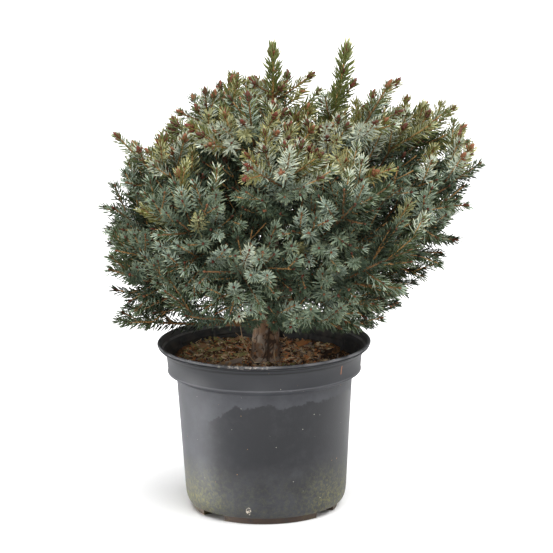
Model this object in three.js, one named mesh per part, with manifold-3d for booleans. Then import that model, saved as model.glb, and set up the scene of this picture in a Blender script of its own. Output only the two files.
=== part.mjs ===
// A dwarf Serbian spruce in a round nursery pot, in millimetres, +Z up.
// The origin is the centre of the pot's underside, and the side that is looked at faces -Y.
import * as THREE from "three";
import { mergeVertices } from "three/addons/utils/BufferGeometryUtils.js";
import Module from "manifold-3d";

const wasm = await Module();
wasm.setup();

// Clear gap between two pieces that meet
const GAP = 0.3;

// Pot: a thin tapered wall under a wide collar and a flared lip
const POT_HEIGHT = 183;
const POT_SIDES = 36;
const POT_WALL = 2.4;
const LIP_RADIUS = 115;
const LIP_HEIGHT = 7;
const LIP_TAPER = 2.5;
const LIP_STEP = 1.5;
const BEAD = 1.4;
const FLARE_HEIGHT = 10;
const COLLAR_TOP_RADIUS = 104.8;
const COLLAR_LOW_RADIUS = 103.6;
const COLLAR_LOW_Z = 152;
const BODY_TOP_RADIUS = 94.6;
const BODY_TOP_Z = 146;
const BODY_LOW_RADIUS = 86.8;
const BODY_LOW_Z = 22;
const FLOOR_THICKNESS = 3;
const FLOOR_RADIUS = 79;

// Underside: a ring of feet with gaps to either side of the front and the back, a middle pad and drains
const FOOT_OUTER_RADIUS = 77;
const FOOT_INNER_RADIUS = 67;
const FOOT_HEIGHT = 7.5;
const FOOT_DRAFT = 1;
const FOOT_TURN = 4;
const FOOT_GAP_ANGLE = 24;
const FOOT_GAP_PLACE = 52;
const PAD_RADIUS = 20;
const DRAIN_RADIUS = 5;
const DRAIN_DISTANCE = 60;
const DRAIN_SIDES = 10;

// Potting soil, uneven on top and flat round the trunk's foot
const SOIL_Z = 161;
const SOIL_CLEARANCE = 0.4;
const SOIL_BUMP = 1.6;
const SOIL_WAVE = 47;
const SOIL_RINGS = 4;
const SOIL_FLAT_RADIUS = 25;
const SOIL_EDGE = 6;

// Trunk: root flare, taper and a slight lean towards +X
const TRUNK_FOOT_RADIUS = 15;
const TRUNK_TIP_RADIUS = 2.4;
const TRUNK_TAPER_POWER = 1.2;
const TRUNK_KNEE = new THREE.Vector3(0.8, 0, 181);
const TRUNK_BEND = new THREE.Vector3(5, -2, 250);
const TRUNK_TIP = new THREE.Vector3(13, 4, 442);
const TRUNK_SIDES = 12;
const TRUNK_STEPS = 14;
const ROOT_FLARE = 3;
const ROOT_FLARE_FADE = 9;
const ROOT_DEPTH = 2;
const TRUNK_LOBES = 3;
const TRUNK_LOBE_DEPTH = 0.06;

// Limbs: each tier of the crown has its own height on the trunk, and limbs evenly round it.
// Rise above level and reach are for the -X side, the +X side, and the front and back.
// The sag is how far a limb's middle hangs out of the straight line, as a share of its reach.
const TIERS = [
  { name: "skirt", z: 204, count: 6, turn: 180, rise: [1, 5, 16], reach: [168, 150, 162], sag: 0.05 },
  { name: "lower", z: 224, count: 7, turn: 206, rise: [16, 22, 24], reach: [190, 222, 188], sag: 0.05 },
  { name: "middle", z: 247, count: 6, turn: 0, rise: [24, 30, 32], reach: [191, 259, 218], sag: 0.05 },
  { name: "upper", z: 270, count: 4, turn: 6, rise: [42, 39, 41], reach: [224, 266, 226], sag: 0.06 },
  { name: "top", z: 296, count: 4, turn: -18, rise: [62, 52, 62], reach: [186, 232, 186], sag: 0.08 },
  { name: "second_leader", z: 318, count: 1, turn: 0, rise: [67, 67, 67], reach: [210, 210, 210], sag: 0.18 },
];
const BOUGH_SHARE = 0.38;
const BOUGH_ROOT_RADIUS = 4.2;
const BOUGH_TIP_RADIUS = 2.1;
const BOUGH_SIDES = 5;
const BOUGH_STEPS = 3;
const BOUGH_STAGGER = 7;
const TURN_SCATTER = 5;
const REACH_SCATTER = 0.04;

// Twigs: they wind up each limb's outer part, and each ends in a spray of needles.
// A twig that doesn't fit in its space is tried shorter, and then left out.
const TWIG_COUNT = 10;
const FIRST_TWIG = 0.43;
const LAST_TWIG = 0.83;
const TWIG_TURN = 137.5;
const TWIG_TURN_SCATTER = 14;
const TWIG_SPREAD = 48;
const SPREAD_SCATTER = 12;
const TWIG_GROWTH = 0.42;
const TWIG_BASE_LENGTH = 36;
const TWIG_LENGTH_SCATTER = 0.12;
const TWIG_RADIUS = 1.5;
const TWIG_TRIES = [1.2, 1, 0.75];
const STEM_STEPS = 2;

// Leader: the upright shoot that goes on from the trunk's tip
const LEADER_LENGTH = 72;
const LEADER_LEAN = 1;
const LEADER_TWIG_COUNT = 6;
const LEADER_FIRST_TWIG = 0.03;
const LEADER_LAST_TWIG = 0.16;
const LEADER_SPREAD = 66;
const LEADER_SPRAY = 62;

// Sprays: a slim core that rows of needles stand out of, leaning forward
const SPRAY_LENGTH = 42;
const SPRAY_RADIUS = 12.5;
const SPRAY_END_TAPER = 0.22;
const SPRAY_CORE = 2.2;
const SPRAY_SIDES = 4;
const SPRAY_ROWS = 4;
const FIRST_ROW = 0.08;
const LAST_ROW = 0.84;
const NEEDLE_SWEEP = 7;

// Core: the part of a mass that is too dense to see into, by a share of the limb's reach
const CORE_SHARE = 0.16;
const CORE_TAPER = 0.4;
const CORE_FIRST = 0.42;
const CORE_LAST = 0.84;
const CORE_RINGS = 4;
const CORE_SIDES = 7;
const CORE_STEP = 2;
const CORE_MARGIN = 3;
const CORE_DEPTH = 18;

// Crown: side twigs stay under a shallow dome, in a radius, and over an underside that rises
// to the front, to the back and to +X
const ROOF_Z = 478;
const ROOF_X = 45;
const ROOF_FALL = 0.0016;
const UNDERSIDE_Z = 197;
const UNDERSIDE_SLOPE = 0.28;
const UNDERSIDE_BEND_X = 70;
const UNDERSIDE_BEND = 0.003;
const CROWN_MIDDLE = new THREE.Vector3(20, 0, 300);
const CROWN_RADIUS = [174, 242, 205];

// Free space that the foliage keeps
const SPACE_MARGIN = 0.8;
const LIMB_MARGIN = 1.5;
const TRUNK_MARGIN = 4;
const SEED = 20260;

// Colours
const BARK = { color: 0x6b5544, roughness: 0.9, metalness: 0 };
const TWIG_BARK = { color: 0x8a6236, roughness: 0.8, metalness: 0 };
const NEEDLES = { color: 0x6f8a84, roughness: 0.6, metalness: 0 };
const PLASTIC = { color: 0x4b4c50, roughness: 0.6, metalness: 0 };
const EARTH = { color: 0x4e3626, roughness: 1, metalness: 0 };

const UP = new THREE.Vector3(0, 0, 1);
const radians = THREE.MathUtils.degToRad;
const lerp = THREE.MathUtils.lerp;

// Even numbers from 0 to 1, the same on every run for one seed
function seeded(number) {
  let state = (SEED + number * 7919) >>> 0;
  return () => {
    state = (Math.imul(state, 1664525) + 1013904223) >>> 0;
    return (state >>> 8) / 2 ** 24;
  };
}

// A number from -1 to 1
function scatter(random) {
  return 2 * random() - 1;
}

// A closed geometry as a solid that can be joined and cut
function solidOf(geometry) {
  const bare = geometry.clone();
  bare.deleteAttribute("normal");
  bare.deleteAttribute("uv");
  const merged = mergeVertices(bare, 1e-4);
  return new wasm.Manifold(
    new wasm.Mesh({
      numProp: 3,
      vertProperties: new Float32Array(merged.attributes.position.array),
      triVerts: new Uint32Array(merged.index.array),
    }),
  );
}

// The largest body of a solid, without loose scraps or sealed hollows, as a named mesh
function namedMesh(name, solid, look) {
  const bodies = solid.decompose().sort((a, b) => b.volume() - a.volume());
  const { vertProperties, triVerts } = bodies[0].getMesh();
  const geometry = new THREE.BufferGeometry();
  geometry.setAttribute("position", new THREE.BufferAttribute(vertProperties, 3));
  geometry.setIndex(new THREE.BufferAttribute(triVerts, 1));
  geometry.computeVertexNormals();
  const mesh = new THREE.Mesh(geometry, new THREE.MeshStandardMaterial(look));
  mesh.name = name;
  return mesh;
}

// A closed skin over rings of points, with a pole at each end. Corners whose ring and place
// numbers add up to an even number can stand out as points, because no diagonal meets them.
function skinOver(rings, firstPole, lastPole) {
  const sides = rings[0].length;
  const corners = [...rings.flat(), firstPole, lastPole];
  const first = corners.length - 2;
  const last = corners.length - 1;
  const at = (row, side) => row * sides + (side % sides);
  const index = [];
  for (let side = 0; side < sides; side++) {
    index.push(first, at(0, side + 1), at(0, side));
    index.push(last, at(rings.length - 1, side), at(rings.length - 1, side + 1));
  }
  for (let row = 0; row + 1 < rings.length; row++) {
    for (let side = 0; side < sides; side++) {
      const a = at(row, side);
      const b = at(row, side + 1);
      const c = at(row + 1, side + 1);
      const d = at(row + 1, side);
      if ((row + side) % 2 === 0) index.push(a, b, d, b, c, d);
      else index.push(a, b, c, a, c, d);
    }
  }
  return new THREE.BufferGeometry().setFromPoints(corners).setIndex(index);
}

// A tapering limb along a stretch of a curve. radiusAt takes the share along the stretch and the angle.
function limb(curve, from, to, steps, sides, radiusAt) {
  const rings = [];
  const middles = [];
  for (let step = 0; step <= steps; step++) {
    const share = lerp(from, to, step / steps);
    const tangent = curve.getTangent(share);
    const middle = curve.getPoint(share);
    const across = new THREE.Vector3(0, 1, 0).cross(tangent);
    if (across.length() < 0.1) across.set(1, 0, 0);
    across.normalize();
    const upward = new THREE.Vector3().crossVectors(tangent, across);
    rings.push(
      Array.from({ length: sides }, (_, side) => {
        const angle = (2 * Math.PI * side) / sides;
        const radius = radiusAt(step / steps, angle);
        const point = middle.clone().addScaledVector(across, radius * Math.cos(angle));
        return point.addScaledVector(upward, radius * Math.sin(angle));
      }),
    );
    middles.push(middle);
  }
  return skinOver(rings, middles[0], middles[steps]);
}

// The direction that leaves a stem at an angle, turned round the stem by a roll
function sideWay(tangent, spread, roll) {
  const side = new THREE.Vector3().crossVectors(tangent, UP);
  if (side.length() < 0.05) side.set(1, 0, 0);
  side.normalize().applyAxisAngle(tangent, roll);
  return tangent.clone().multiplyScalar(Math.cos(spread)).addScaledVector(side, Math.sin(spread));
}

// Pot

const floorTop = FOOT_HEIGHT + FLOOR_THICKNESS;
const innerSlack = POT_WALL / 2;

function potProfile() {
  const lipLow = POT_HEIGHT - LIP_HEIGHT;
  const lipLowRadius = LIP_RADIUS - LIP_TAPER;
  const lipInnerRadius = lipLowRadius - POT_WALL;
  const collarTop = lipLow - FLARE_HEIGHT;
  const collarTopInner = COLLAR_TOP_RADIUS - POT_WALL;
  const bodyLowInner = BODY_LOW_RADIUS - POT_WALL;
  const path = new THREE.Path();
  path.moveTo(0, 0).lineTo(PAD_RADIUS, 0).lineTo(PAD_RADIUS + FOOT_DRAFT, FOOT_HEIGHT);
  path.lineTo(FOOT_INNER_RADIUS - FOOT_DRAFT, FOOT_HEIGHT).lineTo(FOOT_INNER_RADIUS, 0);
  path.lineTo(FOOT_OUTER_RADIUS, 0).lineTo(FOOT_OUTER_RADIUS + FOOT_DRAFT, FOOT_HEIGHT);
  path.lineTo(FLOOR_RADIUS + POT_WALL, FOOT_HEIGHT);
  path.quadraticCurveTo(BODY_LOW_RADIUS - FOOT_DRAFT, floorTop, BODY_LOW_RADIUS, BODY_LOW_Z);
  path.lineTo(BODY_TOP_RADIUS, BODY_TOP_Z).lineTo(COLLAR_LOW_RADIUS, COLLAR_LOW_Z);
  path.lineTo(COLLAR_TOP_RADIUS, collarTop);
  path.quadraticCurveTo(COLLAR_TOP_RADIUS + LIP_STEP, lipLow - LIP_STEP, lipLowRadius - LIP_STEP, lipLow);
  path.lineTo(lipLowRadius, lipLow + LIP_STEP).lineTo(LIP_RADIUS - BEAD / 2, POT_HEIGHT - 2 * BEAD);
  path.quadraticCurveTo(LIP_RADIUS + BEAD / 2, POT_HEIGHT - BEAD, LIP_RADIUS - BEAD, POT_HEIGHT);
  path.lineTo(LIP_RADIUS - BEAD - POT_WALL, POT_HEIGHT - BEAD / 2);
  path.lineTo(lipInnerRadius, lipLow).lineTo(lipInnerRadius - LIP_STEP, lipLow - innerSlack);
  path.quadraticCurveTo(collarTopInner + innerSlack, lipLow - POT_WALL, collarTopInner, collarTop);
  path.lineTo(COLLAR_LOW_RADIUS - POT_WALL, COLLAR_LOW_Z + innerSlack);
  path.lineTo(BODY_TOP_RADIUS - POT_WALL, BODY_TOP_Z + innerSlack);
  path.lineTo(bodyLowInner, BODY_LOW_Z);
  path.quadraticCurveTo(bodyLowInner - FOOT_DRAFT, floorTop + FOOT_DRAFT, FLOOR_RADIUS, floorTop);
  path.lineTo(0, floorTop);
  return path.getPoints(2);
}

// A profile turned about Z
function turned(profile) {
  return new THREE.LatheGeometry(profile, POT_SIDES).rotateX(Math.PI / 2);
}

// The space between two feet
function footGap(middle) {
  const half = radians(FOOT_GAP_ANGLE / 2);
  const sector = new THREE.Shape();
  sector.absarc(0, 0, FLOOR_RADIUS, middle - half, middle + half, false);
  sector.absarc(0, 0, FOOT_INNER_RADIUS - 2 * FOOT_DRAFT, middle + half, middle - half, true);
  const shape = { depth: 2 * FOOT_HEIGHT, bevelEnabled: false, curveSegments: 2 };
  return new THREE.ExtrudeGeometry(sector, shape).translate(0, 0, -FOOT_HEIGHT);
}

function makePot() {
  let pot = solidOf(turned(potProfile()));
  for (const facing of [-90, 90]) {
    for (const side of [-FOOT_GAP_PLACE, FOOT_GAP_PLACE]) {
      const middle = radians(facing + side + FOOT_TURN);
      const drain = new THREE.CylinderGeometry(DRAIN_RADIUS, DRAIN_RADIUS, 2 * floorTop, DRAIN_SIDES);
      drain.rotateX(Math.PI / 2);
      drain.translate(DRAIN_DISTANCE * Math.cos(middle), DRAIN_DISTANCE * Math.sin(middle), floorTop / 2);
      pot = pot.subtract(solidOf(footGap(middle))).subtract(solidOf(drain));
    }
  }
  return namedMesh("pot", pot, PLASTIC);
}

// Soil

function soilHeight(x, y) {
  const turn = (2 * Math.PI) / SOIL_WAVE;
  const bumps = Math.sin(turn * x) * Math.cos(turn * y) + Math.sin(2 * turn * (x - y)) / 2;
  const away = THREE.MathUtils.smoothstep(Math.hypot(x, y), SOIL_FLAT_RADIUS, 2 * SOIL_FLAT_RADIUS);
  return SOIL_Z + SOIL_BUMP * bumps * away;
}

function makeSoil() {
  const inset = POT_WALL + SOIL_CLEARANCE;
  const lift = innerSlack + GAP;
  const edgeRadius = COLLAR_LOW_RADIUS - inset;
  const profile = [
    new THREE.Vector2(0, floorTop + GAP),
    new THREE.Vector2(FLOOR_RADIUS - SOIL_CLEARANCE, floorTop + GAP),
    new THREE.Vector2(BODY_LOW_RADIUS - inset, BODY_LOW_Z),
    new THREE.Vector2(BODY_TOP_RADIUS - inset, BODY_TOP_Z + lift),
    new THREE.Vector2(edgeRadius, COLLAR_LOW_Z + lift),
    new THREE.Vector2(edgeRadius, SOIL_Z),
  ];
  for (let ring = SOIL_RINGS - 1; ring >= 0; ring--) {
    const radius = lerp(SOIL_FLAT_RADIUS, edgeRadius - SOIL_EDGE, ring / (SOIL_RINGS - 1));
    profile.push(new THREE.Vector2(radius, SOIL_Z));
  }
  profile.push(new THREE.Vector2(0, SOIL_Z));
  const geometry = turned(profile);
  const places = geometry.attributes.position;
  for (let i = 0; i < places.count; i++) {
    if (places.getZ(i) > SOIL_Z - GAP) places.setZ(i, soilHeight(places.getX(i), places.getY(i)));
  }
  return namedMesh("soil", solidOf(geometry), EARTH);
}

// Trunk

const trunkFoot = new THREE.Vector3(0, 0, SOIL_Z - ROOT_DEPTH);
const trunkCurve = new THREE.CatmullRomCurve3([trunkFoot, TRUNK_KNEE, TRUNK_BEND, TRUNK_TIP]);

function trunkRadius(z, angle) {
  const height = Math.min(z, TRUNK_TIP.z) - trunkFoot.z;
  const share = height / (TRUNK_TIP.z - trunkFoot.z);
  const taper = lerp(TRUNK_FOOT_RADIUS, TRUNK_TIP_RADIUS, share ** TRUNK_TAPER_POWER);
  const flare = ROOT_FLARE * Math.exp(-height / ROOT_FLARE_FADE);
  return (taper + flare) * (1 + TRUNK_LOBE_DEPTH * Math.cos(TRUNK_LOBES * angle));
}

// The middle of the trunk at a height
function trunkMiddle(z) {
  let low = 0;
  let high = 1;
  for (let halving = 0; halving < 24; halving++) {
    const middle = (low + high) / 2;
    if (trunkCurve.getPoint(middle).z < z) low = middle;
    else high = middle;
  }
  return trunkCurve.getPoint(low);
}

// The trunk on a flat foot, grown by a little on all sides
function trunkSolid(extra) {
  const whole = limb(trunkCurve, 0, 1, TRUNK_STEPS, TRUNK_SIDES, (share, angle) => {
    return trunkRadius(trunkCurve.getPoint(share).z, angle) + extra;
  });
  const groundSize = 4 * TRUNK_FOOT_RADIUS;
  const ground = new THREE.BoxGeometry(groundSize, groundSize, groundSize);
  ground.translate(0, 0, SOIL_Z + GAP - groundSize / 2);
  return solidOf(whole).subtract(solidOf(ground));
}

// Limbs: one smooth curve each, from the trunk's middle to the tip of its last spray

// A size that is known on the -X side, on the +X side, and at the front and back
function roundTrunk([left, right, frontAndBack], azimuth) {
  const side = lerp(left, right, (1 + Math.cos(azimuth)) / 2);
  return lerp(side, frontAndBack, Math.sin(azimuth) ** 2);
}

function limbCurve(start, azimuth, rise, reach, sag) {
  const level = new THREE.Vector3(Math.cos(azimuth), Math.sin(azimuth), 0);
  const way = level.clone().multiplyScalar(Math.cos(rise)).addScaledVector(UP, Math.sin(rise));
  const down = level.clone().multiplyScalar(Math.sin(rise)).addScaledVector(UP, -Math.cos(rise));
  const tip = start.clone().addScaledVector(way, reach);
  const bend = start.clone().addScaledVector(way, reach / 2).addScaledVector(down, sag * reach);
  return new THREE.QuadraticBezierCurve3(start, bend, tip);
}

function makeLimbs() {
  const limbs = [];
  for (const tier of TIERS) {
    for (let i = 0; i < tier.count; i++) {
      const random = seeded(limbs.length + 1);
      const azimuth = radians(tier.turn + (360 / tier.count) * i + TURN_SCATTER * scatter(random));
      const rise = radians(roundTrunk(tier.rise, azimuth));
      const reach = roundTrunk(tier.reach, azimuth) * (1 + REACH_SCATTER * scatter(random));
      const start = trunkMiddle(tier.z + BOUGH_STAGGER * (i % 2));
      limbs.push({
        name: tier.count > 1 ? `${tier.name}_${i + 1}` : tier.name,
        curve: limbCurve(start, azimuth, rise, reach, tier.sag),
        reach,
        random,
        boughShare: BOUGH_SHARE,
        firstTwig: FIRST_TWIG,
        lastTwig: LAST_TWIG,
        twigCount: TWIG_COUNT,
        spread: TWIG_SPREAD,
        growth: TWIG_GROWTH,
        spray: SPRAY_LENGTH,
      });
    }
  }
  return limbs;
}

function makeLeader() {
  const start = TRUNK_TIP.clone().addScaledVector(UP, GAP);
  const tip = start.clone().add(new THREE.Vector3(LEADER_LEAN, 0, LEADER_LENGTH));
  return {
    name: "leader",
    curve: new THREE.LineCurve3(start, tip),
    reach: LEADER_LENGTH,
    random: seeded(0),
    boughShare: 0,
    firstTwig: LEADER_FIRST_TWIG,
    lastTwig: LEADER_LAST_TWIG,
    twigCount: LEADER_TWIG_COUNT,
    spread: LEADER_SPREAD,
    growth: 0,
    spray: LEADER_SPRAY,
  };
}

function makeBough(one, trunkClear) {
  const radiusAt = (share) => lerp(BOUGH_ROOT_RADIUS, BOUGH_TIP_RADIUS, share);
  const whole = limb(one.curve, 0, one.boughShare, BOUGH_STEPS, BOUGH_SIDES, radiusAt);
  return namedMesh(`bough_${one.name}`, solidOf(whole).subtract(trunkClear), TWIG_BARK);
}

// Space: a point belongs to the limb whose outer part is nearest, clear of the trunk and the boughs

function spaceOf(one) {
  const boughTip = one.curve.getPoint(one.boughShare);
  return {
    outer: new THREE.Line3(boughTip, one.curve.getPoint(1)),
    bough: one.boughShare ? new THREE.Line3(one.curve.getPoint(0), boughTip) : null,
  };
}

function distanceTo(line, point) {
  return line.closestPointToPoint(point, true, new THREE.Vector3()).distanceTo(point);
}

function isInCrown({ x, y, z }) {
  const roof = ROOF_Z - ROOF_FALL * ((x - ROOF_X) ** 2 + y ** 2);
  const bend = UNDERSIDE_BEND * Math.max(0, x - UNDERSIDE_BEND_X) ** 2;
  const underside = UNDERSIDE_Z + UNDERSIDE_SLOPE * Math.abs(y) + bend;
  const radius = roundTrunk(CROWN_RADIUS, Math.atan2(y, x));
  return z > underside && z < roof && Math.hypot(x, y) < radius;
}

// Whether the crown goes on outside a point, by the depth of the sprays
function isDeep(point) {
  const outward = point.clone().sub(CROWN_MIDDLE).setLength(CORE_DEPTH).add(point);
  return isInCrown(outward);
}

function isFree(point, own, spaces) {
  if (!isInCrown(point)) return false;
  const trunkClearance = trunkRadius(point.z, 0) + TRUNK_MARGIN;
  if (point.z < TRUNK_TIP.z && trunkMiddle(point.z).distanceTo(point) < trunkClearance) return false;
  const ownDistance = distanceTo(spaces[own].outer, point);
  return spaces.every(({ outer, bough }, i) => {
    if (bough && distanceTo(bough, point) < BOUGH_ROOT_RADIUS + LIMB_MARGIN) return false;
    return i === own || distanceTo(outer, point) > ownDistance + SPACE_MARGIN;
  });
}

// Masses of foliage

// A corner of a ring round the Z axis
function corner(side, radius, z) {
  const angle = (2 * Math.PI * side) / SPRAY_SIDES;
  return new THREE.Vector3(radius * Math.cos(angle), radius * Math.sin(angle), z);
}

// A twig along Z whose end is a spray: every other corner of a row is a needle
function twigRings(length, longestSpray) {
  const sides = Array.from({ length: SPRAY_SIDES }, (_, side) => side);
  const sprayLength = Math.min(longestSpray, length);
  const rings = [sides.map((side) => corner(side, TWIG_RADIUS, 0))];
  for (let row = 1; row <= SPRAY_ROWS; row++) {
    const share = (row - 1) / (SPRAY_ROWS - 1);
    const z = length - sprayLength * (1 - lerp(FIRST_ROW, LAST_ROW, share));
    const reach = SPRAY_RADIUS * (1 - SPRAY_END_TAPER * (2 * share - 1) ** 2);
    const needle = (side) => corner(side, reach, z + NEEDLE_SWEEP);
    const valley = (side) => corner(side, SPRAY_CORE, z);
    rings.push(sides.map((side) => ((row + side) % 2 === 0 ? needle(side) : valley(side))));
  }
  return rings;
}

// The twig with its spray, from a point along a direction, turned about it by a roll
function shoot(from, way, length, roll, longestSpray) {
  const turn = new THREE.Quaternion().setFromUnitVectors(UP, way);
  const rolled = new THREE.Quaternion().setFromAxisAngle(UP, roll);
  const place = (point) => point.applyQuaternion(rolled).applyQuaternion(turn).add(from);
  const rings = twigRings(length, longestSpray);
  rings.forEach((ring) => ring.forEach(place));
  const root = place(new THREE.Vector3());
  const tip = place(new THREE.Vector3(0, 0, length));
  return { points: [...rings.slice(1).flat(), tip], geometry: skinOver(rings, root, tip) };
}

// Twigs of one mass: where each leaves the stem, its way and its length
function twigsOf({ random, curve, reach, firstTwig, lastTwig, twigCount, spread, growth }) {
  const firstRoll = 2 * Math.PI * random();
  return Array.from({ length: twigCount }, (_, i) => {
    const share = lerp(firstTwig, lastTwig, i / (twigCount - 1));
    const roll = firstRoll + radians(TWIG_TURN * i + TWIG_TURN_SCATTER * scatter(random));
    const angle = radians(spread + SPREAD_SCATTER * scatter(random));
    const grown = growth * reach * (1 - share) + TWIG_BASE_LENGTH;
    const length = grown * (1 + TWIG_LENGTH_SCATTER * scatter(random));
    return { from: curve.getPoint(share), way: sideWay(curve.getTangent(share), angle, roll), length, roll };
  });
}

// The core fills its own space round the stem, as far as its radius allows
function coreOf(one, own, spaces) {
  const middles = [];
  const rings = [];
  for (let ring = 0; ring < CORE_RINGS; ring++) {
    const share = ring / (CORE_RINGS - 1);
    const place = lerp(CORE_FIRST, CORE_LAST, share);
    const middle = one.curve.getPoint(place);
    const tangent = one.curve.getTangent(place);
    const largest = CORE_SHARE * one.reach * (1 - CORE_TAPER * share);
    middles.push(middle);
    rings.push(
      Array.from({ length: CORE_SIDES }, (_, side) => {
        const way = sideWay(tangent, Math.PI / 2, (2 * Math.PI * side) / CORE_SIDES);
        let radius = BOUGH_TIP_RADIUS;
        while (radius < largest) {
          const next = middle.clone().addScaledVector(way, radius + CORE_STEP + CORE_MARGIN);
          if (!isFree(next, own, spaces) || !isDeep(next)) break;
          radius += CORE_STEP;
        }
        return middle.clone().addScaledVector(way, radius);
      }),
    );
  }
  return skinOver(rings, middles[0], middles[CORE_RINGS - 1]);
}

function makeMass(one, own, spaces) {
  const { curve, boughShare, spray } = one;
  const length = curve.getLength();
  const stemStart = boughShare ? boughShare + GAP / length : 0;
  const sprayStart = 1 - spray / length;
  const stemEnd = sprayStart + TWIG_RADIUS / length;
  const stemRadius = (share) => lerp(BOUGH_TIP_RADIUS, TWIG_RADIUS, share);
  const stem = limb(curve, stemStart, stemEnd, STEM_STEPS, BOUGH_SIDES, stemRadius);
  const last = shoot(curve.getPoint(sprayStart), curve.getTangent(1), spray, 0, spray);
  const pieces = [solidOf(stem), solidOf(last.geometry)];
  if (boughShare) pieces.push(solidOf(coreOf(one, own, spaces)));
  for (const twig of twigsOf(one)) {
    const grow = (size) => shoot(twig.from, twig.way, twig.length * size, twig.roll, SPRAY_LENGTH);
    const fits = ({ points }) => points.every((point) => isFree(point, own, spaces));
    const fitting = TWIG_TRIES.map(grow).find(fits);
    if (fitting) pieces.push(solidOf(fitting.geometry));
  }
  return namedMesh(`foliage_${one.name}`, wasm.Manifold.union(pieces), NEEDLES);
}

const plant = new THREE.Group();
plant.add(makePot(), makeSoil(), namedMesh("trunk", trunkSolid(0), BARK));

const limbs = makeLimbs();
const trunkClear = trunkSolid(GAP);
for (const one of limbs) plant.add(makeBough(one, trunkClear));

const masses = [...limbs, makeLeader()];
const spaces = masses.map(spaceOf);
masses.forEach((one, own) => plant.add(makeMass(one, own, spaces)));

export default plant;
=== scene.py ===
# A dwarf Serbian spruce in a round nursery pot: its looks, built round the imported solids.
# Sizes are in millimetres, as in the part's source, and every mesh is scaled to metres when it is made.
# The origin is the centre of the pot's underside, +Z is up, and the side that is looked at faces -Y.
import math
from collections import namedtuple
from functools import reduce

import bpy
import numpy as np
from mathutils import Matrix, Vector, noise


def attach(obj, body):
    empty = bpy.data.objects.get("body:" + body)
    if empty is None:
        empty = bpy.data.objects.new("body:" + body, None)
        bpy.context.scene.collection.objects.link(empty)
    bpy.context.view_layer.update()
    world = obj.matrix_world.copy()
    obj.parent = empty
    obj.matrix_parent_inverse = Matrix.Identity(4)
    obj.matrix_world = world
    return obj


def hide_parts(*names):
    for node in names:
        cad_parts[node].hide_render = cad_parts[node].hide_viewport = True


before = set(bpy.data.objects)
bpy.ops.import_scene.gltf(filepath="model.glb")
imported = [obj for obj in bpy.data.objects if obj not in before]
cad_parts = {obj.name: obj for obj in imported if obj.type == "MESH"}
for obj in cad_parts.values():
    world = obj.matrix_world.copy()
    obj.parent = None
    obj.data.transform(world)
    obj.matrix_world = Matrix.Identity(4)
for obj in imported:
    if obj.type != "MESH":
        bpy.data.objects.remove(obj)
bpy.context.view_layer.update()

MM = 0.001
UP = np.array([0.0, 0.0, 1.0])
WHOLE_TURN = 2 * math.pi
GAP = 0.3

# One seed for every random number, and for the noise that bends the plates of bark
SEED = 20260
noise.seed_set(SEED)

# Camera: a long lens from a little above, with one point of the plant at its pixel in the photo
PHOTO_SIZE = 553
SENSOR_WIDTH = 36.0
CAMERA_LENS = 240.0
CAMERA_DISTANCE = 3.965
CAMERA_ELEVATION = 14.0
CAMERA_ROLL = -0.8
AIM = Vector((0.0, 0.0, 0.183))
AIM_PIXEL = (264.0, 340.3)

# Floor and lights, in metres
GROUND_SIZE = 40.0
GROUND_LOOK = ("floor_white", (246, 246, 246), 0.9, 0.1)
WORLD_STRENGTH = 0.34
SKY_STRENGTH = 6.1
SKY_ANGLE = 75.0
SKY_WAY = (-0.18, 0.3, -1.0)
LIGHTS = [
    # name, place, aim, size, power, spread
    ("front", (-0.8, -3.6, 1.4), AIM, 1.8, 5.0, 180.0),
    ("side", (-2.2, -0.1, 0.1), (0.0, 0.0, 0.05), 0.25, 0.38, 6.0),
    ("far_side", (2.2, 0.3, 0.12), (0.0, 0.0, 0.05), 0.25, 0.06, 6.0),
    ("low", (-0.1, -2.2, 0.62), (0.0, 0.0, 0.13), 0.1, 0.023, 6.0),
]

# Pot
POT_HEIGHT = 183.0
POT_SIDES = 144
POT_WALL = 2.4
LIP_RADIUS = 115.0
LIP_HEIGHT = 7.0
LIP_TAPER = 2.5
LIP_STEP = 1.5
LIP_GROOVE = 0.9
LIP_GROOVE_DROP = 3.6
BEAD = 1.4
FLARE_HEIGHT = 10.0
COLLAR_TOP_RADIUS = 104.8
COLLAR_LOW_RADIUS = 103.6
COLLAR_LOW_Z = 152.0
COLLAR_BEAD = 0.7
LEDGE = 1.7
BODY_TOP_RADIUS = 94.6
BODY_TOP_Z = 146.0
BODY_LOW_RADIUS = 86.8
BODY_LOW_Z = 22.0
FLOOR_THICKNESS = 3.0
FLOOR_RADIUS = 79.0
FOOT_OUTER_RADIUS = 77.0
FOOT_INNER_RADIUS = 67.0
FOOT_HEIGHT = 7.5
FOOT_DRAFT = 1.0
FOOT_TURN = 4.0
FOOT_GAP_ANGLE = 24.0
FOOT_GAP_PLACE = 52.0
FLOOR_TOP = FOOT_HEIGHT + FLOOR_THICKNESS
PAD_RADIUS = 20.0
DRAIN_RADIUS = 5.0
DRAIN_DISTANCE = 60.0
DRAIN_SIDES = 32
EDGE_ROUNDING = 0.45
MOST_ROUNDING = 0.4
CORNER_CUT = 0.25
ARC_STEPS = 5
SECTOR_POINTS = 9
SHARP_ANGLE = 40.0
GUSSET_COUNT = 12
GUSSET_HEIGHT = 13.0
GUSSET_DEPTH = 6.0
GUSSET_WIDTH = 2.2
GUSSET_TURN = 2.0

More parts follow.
